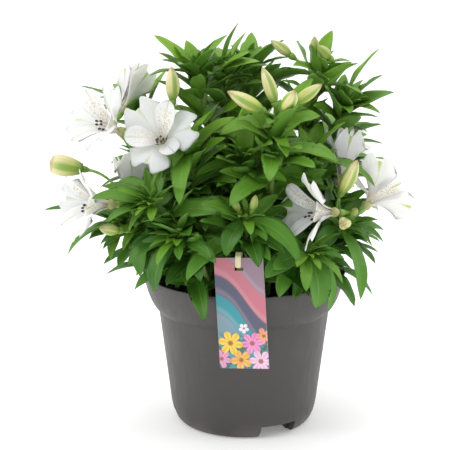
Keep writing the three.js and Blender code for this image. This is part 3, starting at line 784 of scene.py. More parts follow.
def tepal_paint(name, inner):
    """White with soft veins, a green midrib that deepens at the tip, a greenish throat and a pink base.
    An inner tepal has a cream middle with brown flecks drawn out along it."""
    paint = Paint(name, 0.5, Subsurface_Weight=0.9, Subsurface_Scale=0.004, Subsurface_Radius=(1, 1, 0.8))
    across, along = paint.uv()
    own, flecked, under = paint.tint()
    side = abs(across - 0.5)
    veins = paint.streaks(across, along, 26, 3)
    rib = 1 - side / along.band(0.5, 1, 0.035, 0.1)
    rib = rib.band(0, 1) * along.band(0.45, 0.95, 0.16, 0.62) * (under + 1)
    paint.base(veins.band(0.4, 0.7), (0.84, 0.84, 0.81), (0.92, 0.92, 0.91))
    paint.coat(paint.noise(38, 2).band(0.45, 0.75) * 0.25, (0.88, 0.78, 0.79))
    paint.coat(along.band(0.34, 0.04) * 0.7, (0.62, 0.68, 0.26))
    paint.coat(along.band(0.42, 0.02) * under * 0.6, (0.72, 0.42, 0.34))
    paint.coat(rib, (0.3, 0.42, 0.08))
    if inner:
        middle = side.band(0.46, 0.24) * along.band(0.14, 0.26) * along.band(0.9, 0.72) * flecked
        grid = paint.joined(across * 21, along * 17, own)
        cells = paint.node("TexVoronoi", {"Vector": grid, "Scale": 1.0, "Randomness": 0.9}, "Distance")
        paint.coat(middle * 0.35, (0.86, 0.76, 0.5))
        paint.coat(cells.band(0.4, 0.26) * middle * 0.8, (0.3, 0.12, 0.08))
    paint.bump(veins + rib * -1.2, 0.25, 0.7)
    return paint


def plain_paint(name, low, high, scale, roughness, depth=0.1, **settings):
    """A colour that varies a little over the piece, with fine grain."""
    paint = Paint(name, roughness, **settings)
    paint.base(paint.noise(scale, 4, 0.6).band(0.3, 0.7), low, high)
    paint.bump(paint.noise(scale * 3, 3, 0.6), depth, 0.6)
    return paint


def pot_paint():
    """Matt moulded grey plastic: cloudy colour, fine flow streaks, small pale scuffs and a fine grain."""
    paint = Paint("pot_grey", 0.5, Specular_IOR_Level=0.68)
    x, y, z = paint.parts("XYZ", paint.place())
    cloud = paint.noise(14, 4, 0.55)
    flow = paint.noise(260, 3, 0.6, at=paint.joined(x, y, z * 0.06))
    scuff = paint.noise(95, 6, 0.75).band(0.63, 0.72, 0, 0.4)
    paint.base(cloud.band(0.3, 0.7), (0.034, 0.027, 0.027), (0.044, 0.036, 0.036))
    paint.coat(flow.band(0.45, 0.8, 0, 0.3), (0.065, 0.056, 0.055))
    paint.coat(scuff, (0.1, 0.09, 0.086))
    paint.coat(z.band(0.02, 0) * cloud.band(0.4, 0.6) * 0.35, (0.17, 0.155, 0.14))
    paint.plug(flow.band(0.3, 0.8, 0.42, 0.6), "Roughness")
    paint.bump(paint.noise(1500, 3, 0.6), 0.05, 0.5)
    return paint


def soil_paint():
    """Damp dark peat with paler fibres and crumbs."""
    paint = Paint("peat", 0.9)
    crumbs = paint.noise(220, 6, 0.7)
    paint.base(crumbs.band(0.35, 0.7), (0.012, 0.008, 0.006), (0.05, 0.031, 0.02))
    paint.coat(paint.noise(480, 2).band(0.66, 0.74, 0, 0.6), (0.16, 0.11, 0.07))
    paint.bump(crumbs, 1.6, 0.9)
    return paint


def blossom(paint, flower, across, along):
    """Masks of a printed round blossom, its eye and its rays, from places in millimetres on the tag."""
    right = across - flower["x"]
    high = along - flower["y"]
    size = flower["size"]
    reach = paint.math("SQRT", right * right + high * high)
    angle = paint.math("ARCTAN2", high, right) + flower["turn"]
    wave = abs(paint.math("COSINE", angle * (flower["petals"] / 2)))
    petal = (paint.math("POWER", wave, 0.3) * size - reach).band(-0.3, 0.9)
    return petal, reach.band(size * 0.3, size * 0.12), petal * wave.band(0.9, 1, 0, 0.55)


def tag_paint():
    """A satin card printed with soft wavy bands and plain round blossoms at its foot."""
    paint = Paint("tag_print", 0.32, Coat_Weight=0.15)
    u, v = paint.uv()
    across, along = u * TAG_WIDTH, v * TAG_LENGTH
    cloud = paint.noise(60, 3).band(0.3, 0.7)
    paint.base(v, (0.05, 0.3, 0.36), (0.46, 0.33, 0.42))
    for start, slope, waviness, colour in BANDS:
        above = v - (u * slope + paint.math("SINE", u * 5.2) * waviness) - start
        paint.coat(above.band(0, 0.03), colour)
        paint.coat(abs(above - 0.05).band(0.05, 0) * 0.16, (0.85, 0.6, 0.66))
    paint.coat(v.band(0.36, 0.24) * paint.noise(230, 3).band(0.46, 0.54) * 0.8, (0.04, 0.12, 0.05))
    for flower in BLOSSOMS:
        colour = flower["colour"]
        petal, eye, ray = blossom(paint, flower, across, along)
        paint.coat(petal, paint.blend(cloud, colour, [min(1, c * 1.25 + 0.06) for c in colour]))
        paint.coat(ray, [c * 0.75 for c in colour])
        paint.coat(eye * 0.9, (0.3, 0.1, 0.02))
    under = paint.tint()[2]
    paint.coat(under, (0.82, 0.82, 0.8))
    paint.bump(paint.noise(700, 2), 0.03, 0.4)
    return paint


# Pot
def pot_profile():
    """The pot's section from the middle of its pad, out and up the wall, and down again inside."""
    lip = WALL / 2
    slope = steps(14)
    foot = FOOT_RADIUS - FOOT_WIDTH
    pad = PAD_RADIUS + PAD_SLOPE
    step = np.array([COLLAR_RADIUS - COLLAR_STEP, COLLAR_BASE - 0.9])
    outside = np.array([COLLAR_RADIUS, COLLAR_BASE])
    inside = outside - np.array([WALL, 0])
    spread = np.array([COLLAR_SPREAD, COLLAR_LIFT])
    corner = quadratic((FOOT_RADIUS, 0), (CORNER_RADIUS - CORNER_PULL, 1), (CORNER_RADIUS, CORNER_HEIGHT),
                       slope)
    points = [(0, 0), (PAD_RADIUS - PAD_EDGE, 0), (PAD_RADIUS, PAD_EDGE), (pad, FLOOR_LIFT)]
    points += [(foot - PAD_SLOPE, FLOOR_LIFT), (foot, FOOT_EDGE), (foot + FOOT_EDGE, 0)]
    points += list(corner)
    points += [mix(corner[-1], step, t) for t in steps(18)[1:]]
    points += [(COLLAR_RADIUS - 0.15, COLLAR_BASE - 0.5), outside]
    points += list(quadratic(outside, outside + spread, (RIM_RADIUS, POT_HEIGHT - lip), slope)[1:])
    points += [(RIM_RADIUS - lip + lip * math.cos(a), POT_HEIGHT - lip + lip * math.sin(a))
               for a in np.linspace(0, math.pi, 7)[1:]]
    points += list(quadratic((RIM_RADIUS - WALL, POT_HEIGHT - lip), inside + spread, inside, slope)[1:])
    points += [(CORNER_RADIUS - WALL, CORNER_HEIGHT), (INNER_FOOT, FLOOR_LIFT + FLOOR)]
    points += [(pad + 1, FLOOR_LIFT + FLOOR), (PAD_RADIUS, FLOOR), (0, FLOOR)]
    return points


def turned(profile, sides):
    """Rings of a section that starts and ends on the axis, turned about Z. They run so that the outside
    faces out."""
    angles = -np.arange(sides) / sides * 2 * math.pi
    radius, height = np.array(profile, float).T
    x = np.outer(radius, np.cos(angles))
    y = np.outer(radius, np.sin(angles))
    return np.stack([x, y, np.repeat(height[:, None], sides, axis=1)], axis=-1)


def cutters():
    """The notches through the foot ring and the drain holes, as one mesh object."""
    cut = Form()
    reach, depth = FOOT_RADIUS + FOOT_WIDTH, 2.5 * FOOT_WIDTH
    rise = UP * NOTCH_HEIGHT
    for i in range(NOTCH_COUNT):
        out = compass(math.radians(NOTCH_ANGLE + i * 360 / NOTCH_COUNT))
        side = np.array([-out[1], out[0], 0])
        corners = [(-1, -1), (1, -1), (1, 1), (-1, 1)]
        ring = [out * (reach + depth * a) + side * NOTCH_WIDTH / 2 * b for a, b in corners]
        cut.skin(np.array([[p - rise for p in ring], [p + rise for p in ring]]))
    for i in range(DRAIN_COUNT):
        middle = compass(math.radians(i * 360 / DRAIN_COUNT)) * DRAIN_CIRCLE
        cut.tube([middle + UP * (FLOOR_LIFT - 3), middle + UP * (FLOOR_LIFT + 5)], [DRAIN_RADIUS] * 2, 24)
    return placed("cutters", cut.mesh("cutters"))


def make_pot():
    form = Form()
    form.skin(turned(pot_profile(), POT_SIDES))
    pot = form.make("grower_pot", [pot_paint()], "pot", ["pot"])
    tool = cutters()
    cut = pot.modifiers.new("cut", "BOOLEAN")
    cut.object = tool
    cut.solver = "EXACT"
    bpy.context.view_layer.update()
    mesh = bpy.data.meshes.new_from_object(pot.evaluated_get(bpy.context.evaluated_depsgraph_get()))
    pot.modifiers.clear()
    pot.data = mesh
    mesh.set_sharp_from_angle(angle=math.radians(POT_CREASE))
    bpy.data.objects.remove(tool)


# Soil
def make_soil():
    """The peat: a plug that fits the pot, with a lumpy top and crumbs on it."""
    inner = WALL + GAP
    low, floor = FLOOR + GAP, FLOOR_LIFT + FLOOR + GAP
    edge = RIM_RADIUS - inner - SOIL_EDGE
    profile = [(0, low), (PAD_RADIUS - GAP, low), (PAD_RADIUS + PAD_SLOPE + 1 - GAP, floor)]
    profile += [(INNER_FOOT - GAP, floor), (CORNER_RADIUS - inner, CORNER_HEIGHT + GAP)]
    profile += [(COLLAR_RADIUS - COLLAR_STEP - inner, COLLAR_BASE - GAP), (edge, SOIL_TOP - SOIL_DIP)]
    top = len(profile)
    for t in steps(SOIL_RINGS + 1)[1:]:
        share = 1 - t
        profile.append((edge * share, SOIL_TOP + SOIL_CROWN * (1 - share ** 2) - SOIL_DIP * share ** 6))
    rings = turned(profile, SOIL_SIDES)
    for row in range(top, len(rings) - 1):
        for i in range(SOIL_SIDES):
            x, y = rings[row, i, :2]
            lump = math.sin(x * 0.9 + 2 * math.sin(y * 0.7)) * math.sin(y * 0.8 + 2 * math.sin(x * 0.6))
            rings[row, i, 2] += LUMP_HEIGHT * lump + GRAIN_HEIGHT * (chance(row, i, 3) - 0.5)
    form = Form()
    form.skin(rings)
    for i in range(CRUMB_COUNT):
        size = mix(*CRUMB_SIZES, chance(i, 3, 23) ** 2)
        middle = compass(2 * math.pi * chance(i, 1, 21)) * CRUMB_CIRCLE * math.sqrt(chance(i, 2, 22))
        middle += UP * (SOIL_TOP + 1 + size * 0.4)
        lean = unit(np.array([chance(i, 4, 24) - 0.5, chance(i, 5, 25) - 0.5, 0.6]))
        path = [middle + lean * size * d for d in (-1, -0.6, 0.1, 0.7, 1)]
        form.tube(path, [size * r for r in (0, 0.75, 1, 0.7, 0)], 6)
    form.make("peat_bed", [soil_paint()], "soil", ["soil"])


# Tag and stake
def with_tag(point):
    """Turns a point about the upright line through the tag's middle: its right side comes forward."""
    angle = math.radians(TAG_YAW)
    x, y = point[0] - TAG_MIDDLE, point[1] - TAG_FRONT
    turned_x = x * math.cos(angle) + y * math.sin(angle)
    turned_y = y * math.cos(angle) - x * math.sin(angle)
    return np.array([TAG_MIDDLE + turned_x, TAG_FRONT + turned_y, point[2]])


def tag_point(x, z, depth):
    """A point of the hanging tag from its place on the card, in millimetres below and beside its top."""
    angle = math.radians(TAG_TILT)
    bow = TAG_BOW * math.sin(math.pi * -z / TAG_LENGTH)
    return with_tag((TAG_MIDDLE + x * math.cos(angle) - z * math.sin(angle), TAG_FRONT + depth - bow,
                     TAG_TOP + x * math.sin(angle) + z * math.cos(angle)))


def make_tag():
    """The card: a grid of cells with the slot's cell left open."""
    half_columns = np.array([SLOT_WIDTH / 2, CELL_REACH, TAG_WIDTH / 2])
    columns = [*-half_columns[::-1], *half_columns]
    rows = [0, -CELL_DROP, SLOT_HEIGHT - SLOT_DROP, *np.linspace(-SLOT_DROP, -TAG_LENGTH, 14)]
    slot_cell = (2, 2)
    form = Form()
    count = len(columns) * len(rows)
    for depth in (0, TAG_THICKNESS):
        form.points += [tag_point(x, z, depth) for z in rows for x in columns]

    def corner(row, column, back):
        number = row * len(columns) + column + back * count
        return number, columns[column] / TAG_WIDTH + 0.5, 1 + rows[row] / TAG_LENGTH

    def solid(row, column):
        inside = 0 <= row < len(rows) - 1 and 0 <= column < len(columns) - 1
        return inside and (row, column) != slot_cell

    for row in range(len(rows) - 1):
        for column in range(len(columns) - 1):
            if not solid(row, column):
                continue
            around = [(row, column), (row + 1, column), (row + 1, column + 1), (row, column + 1)]
            form.add([corner(r, c, 0) for r, c in around], PLAIN, 0.0, 0)
            form.add([corner(r, c, 1) for r, c in around[::-1]], PLAIN, 1.0, 0)
            neighbours = [(row, column - 1), (row + 1, column), (row, column + 1), (row - 1, column)]
            for i, beside in enumerate(neighbours):
                if not solid(*beside):
                    a, b = around[i], around[(i + 1) % 4]
                    form.add([corner(*b, 0), corner(*a, 0), corner(*a, 1), corner(*b, 1)], PLAIN, 1.0, 0)
    form.make("plant_tag", [tag_paint()], "tag", ["tag"], TAG_CREASE)


def make_stake():
    """The flat strip: out of the peat, up behind the tag, over its top edge and down in front."""
    half = STAKE_THICKNESS / 2
    front = GAP - TAG_FRONT
    bend = (front + STAKE_THICKNESS - STAKE_REACH) / 2
    bend_height = TAG_TOP + STAKE_BEND
    tooth = TAG_TOP - SLOT_DROP + SLOT_HEIGHT - GAP
    route = [(STAKE_FOOT_REACH + half, STAKE_FOOT), (STAKE_REACH + half, STAKE_KNEE)]
    route += [(STAKE_REACH + half, mix(STAKE_KNEE, bend_height, t)) for t in (0.1, 0.5)]
    middle = bend - half
    route += [(STAKE_REACH + bend - middle * math.cos(a), bend_height + middle * math.sin(a))
              for a in np.linspace(0, math.pi, 17)]
    route += [(front + half, mix(bend_height, tooth, t)) for t in (0.3, 0.6, 0.8, 0.93, 1)]
    widths = [1] * (len(route) - 3) + [0.98, 0.86, 0.5]
    rings = []
    for i, (reach, height) in enumerate(route):
        before, after = route[max(i - 1, 0)], route[min(i + 1, len(route) - 1)]
        along = unit(np.array([after[0] - before[0], after[1] - before[1]]))
        across = np.array([0, -along[1], along[0]]) * STAKE_THICKNESS / 2
        side = np.array([STAKE_WIDTH / 2 * widths[i], 0, 0])
        place = np.array([TAG_MIDDLE, -reach, height])
        corners = [place + side * a + across * b for a, b in ((1, 1), (-1, 1), (-1, -1), (1, -1))]
        rings.append([with_tag(corner) for corner in corners])
    form = Form()
    form.skin(np.array(rings), across=[0, 0.4, 0.5, 0.9, 1])
    paint = plain_paint("stake_cream", (0.72, 0.62, 0.36), (0.84, 0.76, 0.5), 60, 0.42, 0.06)
    form.make("tag_hook", [paint], "stake", ["tag_stake"], TAG_CREASE)


# Room between pieces
class Crowd:
    """Points of what stands already, to tell how much room there is beside it."""

    def __init__(self):
        self.points = []
        self.tree = None

    def add(self, points):
        self.points.extend(np.asarray(points).reshape(-1, 3))

    def settle(self):
        self.tree = KDTree(len(self.points))
        for number, point in enumerate(self.points):
            self.tree.insert(point, number)
        self.tree.balance()

    def room(self, points):
        return min(self.tree.find(point)[2] for point in points)


# Leaves that the solid shoots have
def stem_bow(shoot):
    """The place above its hole that a shoot first grows towards."""
    return [*shoot["soil"], mix(SOIL_TOP, shoot["top"][2], STEM_BOW)]


def stem_point(shoot, place):
    """A point of a shoot's path above the soil: straight up out of its hole, then out to its top."""
    return quadratic([*shoot["soil"], SOIL_TOP], stem_bow(shoot), shoot["top"], place)


def within_crown(tip):
    """A leaf's tip drawn in to the plant's round crown, which closes like a dome above its shoulder."""
    height = limit((tip[2] - CROWN_SHOULDER) / CROWN_DOME, 0, 0.9)
    room = CROWN_RADIUS * math.sqrt(1 - height * height)
    share = min(1, room / math.hypot(tip[0], tip[1]))
    return np.array([tip[0] * share, tip[1] * share, min(tip[2], CROWN_TOP)])


def best_seat(shoot, tip):
    """The highest place on the stem from which a leaf of the usual length comes near enough to a tip."""
    best = None
    for place in LEAF_SEATS:
        misfit = abs(np.linalg.norm(stem_point(shoot, place) - tip) - LEAF_LENGTH)
        if best is None or misfit < best[0] - SEAT_MARGIN:
            best = (misfit, place)
    return stem_point(shoot, best[1])


def leaf_aims(shoot, index):
    """Where each leaf starts and aims, as the solid shoot has them: the listed tips, then the rule's."""
    top = shoot["top"]
    outward = math.atan2(top[1], top[0])
    height = limit((top[2] - RULE_START) / RULE_SPAN, 0.35, 1)
    foot = SOIL_TOP + RULE_FOOT
    aims = []
    for x, y, z, *broad in shoot["tips"]:
        tip = np.array([x, y, z], float)
        aims.append((best_seat(shoot, tip), tip, broad[0] if broad else 1, False))
    for i in range(shoot["leaves"]):
        base = stem_point(shoot, mix(RULE_TOP, shoot["lowest"], i / shoot["leaves"]))
        free = math.radians(GOLDEN_ANGLE * i + 360 * chance(index, 0, 7))
        azimuth = free - OUTWARD_PULL * math.sin(free - outward)
        level = limit((base[2] - foot) / (top[2] - foot), 0, 1)
        rise = math.radians(mix(*RULE_RISES, level * height) + RISE_FREEDOM * (chance(index, i, 1) - 0.5))
        size = LEAF_LENGTH * mix(*RULE_SIZES, chance(index, i, 2))
        way = unit(compass(azimuth) + UP * math.tan(rise))
        aims.append((base, base + way * size, 1, True))
    return aims


def leaf_arc(base, tip):
    """The direction, rise, bend and length of a leaf's arc. The lower the tip, the more it bends."""
    chord = tip - base
    flat = math.hypot(chord[0], chord[1])
    bend = math.radians(mix(*LEAF_BENDS, limit((BEND_START - chord[2]) / BEND_SPAN, 0, 1)))
    rise = min(math.atan2(chord[2], flat) + bend / 2, math.radians(STEEPEST_RISE))
    length = np.linalg.norm(chord) * (bend / 2) / math.sin(bend / 2)
    return np.array([chord[0] / flat, chord[1] / flat, 0]), rise, bend, length


def arc_end(base, tip):
    out, rise, bend, length = leaf_arc(base, tip)
    reach = length / bend * (math.sin(rise) - math.sin(rise - bend))
    return base + out * reach + UP * (length / bend * (math.cos(rise - bend) - math.cos(rise)))


def leaf_roll(base, tip):
    """How far a leaf rolls about its length so that its upper face looks out of the plant."""
    along = unit((tip - base)[:2])
    outward = tip[:2] / max(math.hypot(tip[0], tip[1]), TURN_REACH)
    return math.radians(LEAF_TURN) * (along[0] * outward[1] - along[1] * outward[0])


def grown_leaves(shoot, index, node):
    """The leaves that the solid shoot holds: of each aim's tries, the one whose tip is a corner of it."""
    corners = Crowd()
    corners.add([vertex.co for vertex in node.data.vertices])
    corners.settle()
    found = []
    for leaf, (base, aim, broad, by_rule) in enumerate(leaf_aims(shoot, index)):
        freedom = 2 * (RULE_FREEDOM if by_rule else TIP_FREEDOM)
        for attempt in range(LEAF_TRIES):
            draws = [chance(index + 31 * axis, leaf, attempt) - 0.5 for axis in (1, 2, 3)]
            aimed = aim + np.array([draw * freedom * attempt for draw in draws])
            tip = mix(within_crown(aimed) if by_rule else aimed, base, TRY_SHORTER * attempt)
            if corners.room([arc_end(base, tip) * MM]) < TIP_MATCH * MM:
                roll = leaf_roll(base, tip) + math.radians(ROLL_FREEDOM * (chance(index, leaf, 9) - 0.5))
                width = LEAF_HALF_WIDTH * broad * mix(*LEAF_WIDTHS, chance(index, leaf, 5))
                found.append((leaf, base, tip, width, roll))
                break
    return found


def leaf_rings(base, tip, half_width, roll, seed, grid):
    """A leaf with a folded middle, waved edges and a slightly turned tip."""
    out, rise, bend, length = leaf_arc(base, tip)
    phase = 2 * math.pi * chance(seed, 1, 31)
    waves = mix(1.4, 2.6, chance(seed, 2, 32))
    turn = math.radians(26) * (chance(seed, 3, 33) - 0.5)

    def shape(u, t):
        half = half_width * t ** 0.75 * (1 - t) ** 0.85 / 0.33
        wave = 0.1 * half * np.abs(u) ** 3 * np.sin(2 * math.pi * waves * t + phase + 1.3 * u)
        groove = 0.03 * half_width * np.exp(-(u / 0.16) ** 2) * np.sin(math.pi * t)
        return t, half, half * LEAF_FOLD * u * u + wave - groove, turn * t

    return blade_rings(base, out, UP, rise, bend, length, shape, grid, LEAF_SKIN, roll)


def add_leaf(form, rings, seed, youth):
    form.blade(rings, LEAF, (chance(seed, 4, 34), youth))


# Small leaves that fill the bush
def within_box(tip):
    """An added leaf's tip, kept inside the part's own box."""
    low, high = (np.array(corner) / MM for corner in cad_box)
    return np.clip(tip, low + BOX_MARGIN, high - BOX_MARGIN)


def before_tag(points):
    """Whether any of the points would hide the tag."""
    x, y, z = points.T
    beside = np.abs(x - TAG_MIDDLE) < TAG_WIDTH / 2 + TAG_MARGIN
    return (beside & (y < RIM_MARGIN - RIM_RADIUS) & (z < TAG_TOP - TAG_MARGIN)).any()


def youth_at(height):
    return limit((height - YOUTH_START) / YOUTH_SPAN, 0, 0.9)


def add_fillers(form, crowd, flowers, shoot, index):
    """Small leaves between the large ones, each only where it has room."""
    kept = []
    for i in range(FILLERS):
        base = stem_point(shoot, mix(*FILLER_SEATS, (i + chance(index, i, 41)) / FILLERS))
        azimuth = 2 * math.pi * chance(index, i, 42)
        rise = math.radians(mix(*FILLER_RISES, chance(index, i, 43)))
        size = mix(*FILLER_SIZES, chance(index, i, 44))
        tip = within_box(base + (compass(azimuth) * math.cos(rise) + UP * math.sin(rise)) * size)
        seed = 1000 + FILLERS * index + i
        rings = leaf_rings(base, tip, size * FILLER_BREADTH, leaf_roll(base, tip), seed, SMALL_GRID)
        probe = rings[4:, ::2].reshape(-1, 3)
        low = tip[2] < SOIL_TOP + POT_MARGIN and math.hypot(tip[0], tip[1]) < RIM_RADIUS + POT_MARGIN
        gaps = [np.linalg.norm(probe[:, None] - other, axis=2).min() for other in kept]
        crowded = min(gaps + [crowd.room(probe)]) < FILLER_ROOM or flowers.room(probe) < FLOWER_ROOM
        if low or crowded or before_tag(probe):
            continue
        kept.append(probe)
        add_leaf(form, rings, seed, 0.8 * youth_at(tip[2]))
    for probe in kept:
        crowd.add(probe)


def add_tuft(form, crowd, flowers, shoot, index):
    """The small upright leaves at a shoot's tip, fewer and shorter under an umbel."""
    headed = index in UMBELS
    count = HEADED_LEAVES if headed else TUFT_LEAVES
    tall = limit((shoot["top"][2] - TUFT_START) / TUFT_SPAN, 0, 1)
    longest = HEADED_LENGTH if headed else mix(*TUFT_LENGTHS, tall)
    base = stem_point(shoot, 0.985 if headed else 0.99)
    along = unit(stem_point(shoot, 1.0) - stem_point(shoot, 0.97))
    right = unit(np.cross(along, [0.3, 1, 0.1]))
    over = np.cross(along, right)
    for i in range(count):
        angle = math.radians(GOLDEN_ANGLE * i + 360 * chance(index, 50, 51))
        lean = math.radians(mix(*TUFT_LEANS, i / count))
        out = math.cos(angle) * right + math.sin(angle) * over
        size = longest * mix(1, 0.4, i / count) * mix(0.8, 1.1, chance(index, i, 52))
        tip = within_box(base + (along * math.cos(lean) + out * math.sin(lean)) * size)
        seed = 3000 + 20 * index + i
        rings = leaf_rings(base, tip, size * TUFT_BREADTH, 0, seed, SMALL_GRID)
        crossing = flowers.room(rings[2:, ::2].reshape(-1, 3)) < FLOWER_ROOM
        if not crossing and crowd.room(rings[7:, ::3].reshape(-1, 3)) >= TUFT_ROOM:
            add_leaf(form, rings, seed, mix(0.35, 0.95, i / count))


def make_shoots(crowd, flowers):
    """The stems with the leaves of the solids first, then the small leaves, which keep clear of them."""
    paints = [stem_paint(), leaf_paint()]
    forms = []
    for index, shoot in enumerate(SHOOTS):
        form = Form()
        places = steps(STEM_RINGS)
        foot = np.array([*shoot["soil"], SOIL_TOP - HOLE_DEPTH + GAP])
        path = [foot, *stem_point(shoot, places)]
        radii = [STEM_ROOT] + [mix(STEM_ROOT, shoot["thick"], t) * 0.92 for t in places]
        radii[-1] *= 0.7
        form.tube(path, radii, 10, STEM)
        crowd.add(path)
        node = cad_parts[f"leafy_stem_{index + 1:02d}"]
        for leaf, base, tip, width, roll in grown_leaves(shoot, index, node):
            seed = 100 * index + leaf
            rings = leaf_rings(base, tip, width, roll, seed, LEAF_GRID)
            add_leaf(form, rings, seed, youth_at(tip[2]) * mix(0.6, 1.2, chance(index, leaf, 61)))
            crowd.add(rings[4::2, ::2])
        forms.append(form)
    for index, (shoot, form) in enumerate(zip(SHOOTS, forms)):
        crowd.settle()
        add_tuft(form, crowd, flowers, shoot, index)
        add_fillers(form, crowd, flowers, shoot, index)
        form.make(f"foliage_{index + 1:02d}", paints, "leaf", [f"leafy_stem_{index + 1:02d}"])


# Umbels
def bud_width(t, blunt):
    """A bud's girth along it: half at its foot, fullest before its middle, and a pointed or blunt tip."""
    pointed = (1 - t) ** 0.75 * (0.5 + 2.97 * t - 1.24 * t * t)
    full = (1 - t ** 8) ** 0.5 * (0.5 + 1.5 * t - 1.1 * t * t)
    return mix(pointed, full, blunt)


def ribbed(angles, t):
    return 1 + 0.09 * np.cos(6 * angles)


def folds(blunt):
    """Three keels, which stand apart at the tip of a blunt bud."""
    def lobes(angles, t):
        return 1 + np.cos(3 * angles) * (0.1 * math.sin(math.pi * t) ** 0.5 + 0.34 * blunt * t ** 6)

    return lobes


def add_stalk(form, heart, seat, way, ovary, swell):
    """A flower's stalk from the heart of the umbel, and the ribbed ovary between it and the flower."""
    neck = seat - way * ovary
    control = neck - way * np.linalg.norm(neck - heart) * 0.4
    places = steps(14)
    path = list(quadratic(heart, control, neck, places))
    form.tube(path, [STALK_RADIUS - STALK_WAIST * math.sin(math.pi * t) for t in places], 8, STALK)
    places = steps(9)
    radii = [mix(1.3, swell, math.sin(math.pi * min(0.95 * t, 0.75) / 1.5) ** 1.3) for t in places]
    form.tube([neck + way * ovary * t for t in places], radii, 18, STALK, lobes=ribbed)


def add_bud(form, bud, seat, own):
    tip = np.array(bud["tip"], float)
    places = steps(20)
    radii = [bud["girth"] * bud_width(t, bud["blunt"]) for t in places]
    unripe = limit((RIPE_GIRTH - bud["girth"]) / 2, 0, 1)
    form.tube([mix(seat, tip, t) for t in places], radii, 24, BUD, (own, unripe), folds(bud["blunt"]))


def make_umbels(crowd):
    paints = [stalk_paint(), bud_paint()]
    for number, (index, cluster) in enumerate(UMBELS.items()):
        shoot = SHOOTS[index]
        top, thick = np.array(shoot["top"], float), shoot["thick"]
        lean = unit(top - stem_bow(shoot))
        foot = top + GAP * lean
        heart = foot + HEAD_HEART * lean
        form = Form()
        form.tube([foot, foot + lean * HEAD_HEART / 2, heart, foot + 5 * lean, foot + HEAD_LENGTH * lean],
                  [thick, thick + 0.3, thick + 0.5, thick, thick * 0.6], 12)
        for i, flower in enumerate(cluster):
            seat = np.array(flower["seat"], float)
            if "tip" in flower:
                ovary = min(BUD_OVARY_LENGTH, flower["girth"] * 1.5)
                swell = min(BUD_OVARY_RADIUS, flower["girth"] * 0.66)
                add_stalk(form, heart, seat, unit(flower["tip"] - seat), ovary, swell)
                add_bud(form, flower, seat, chance(number, i, 71))
            else:
                add_stalk(form, heart, seat, unit(np.array(flower["faces"])), OVARY_LENGTH, OVARY_RADIUS)
        crowd.add(form.points[::3])
        form.make(f"flower_stalks_{number + 1:02d}", paints, "stalk", [f"umbel_{number + 1:02d}"])


# Blooms
def outer_shape(seed, breadth):
    """An outer tepal: two round lobes with a notch between them, and a small point in the notch."""
    phase = 2 * math.pi * chance(seed, 1, 81)

    def shape(u, t):
        side = np.abs(u)
        half = OUTER_HALF_WIDTH * breadth * (0.04 + 0.96 * np.sin(math.pi * 0.63 * t ** 1.5) ** 1.2)
        corner = 0.3 * np.clip((side - 0.42) / 0.58, 0, 1) ** 2
        notch = 0.17 * np.clip(1 - (side / 0.4) ** 2, 0, 1) ** 1.3
        point = 0.03 * np.exp(-(u / 0.06) ** 2)
        frill = 0.006 * np.sin(13 * u + phase) + 0.004 * np.sin(29 * u + 2 * phase)
        place = t - t ** 3 * corner - t ** 6 * (notch - point - frill)
        ruffle = 1.5 * t ** 2 * side ** 2 * np.sin(4.2 * t * math.pi + phase + 2.2 * u)
        rib = 0.35 * np.exp(-(u / 0.07) ** 2) * t
        lift = half * u * u * mix(0.16, -0.12, t) + ruffle - rib
        return place, half, lift, 0.12 * np.sin(phase) * t

    return shape


def inner_shape(seed, breadth):
    """An inner tepal: narrow and pointed, broadest beyond its middle."""
    phase = 2 * math.pi * chance(seed, 1, 82)

    def shape(u, t):
        half = INNER_HALF_WIDTH * breadth * (0.08 * (1 - t) + 0.92 * t ** 1.8 * (1 - t) ** 0.6 / 0.259)
        ruffle = 0.8 * t ** 2 * np.abs(u) ** 2 * np.sin(4 * t * math.pi + phase + 2 * u)
        rib = 0.3 * np.exp(-(u / 0.1) ** 2) * t
        return t, half, half * u * u * mix(0.4, 0.1, t) + ruffle - rib, 0.15 * np.sin(phase) * t

    return shape


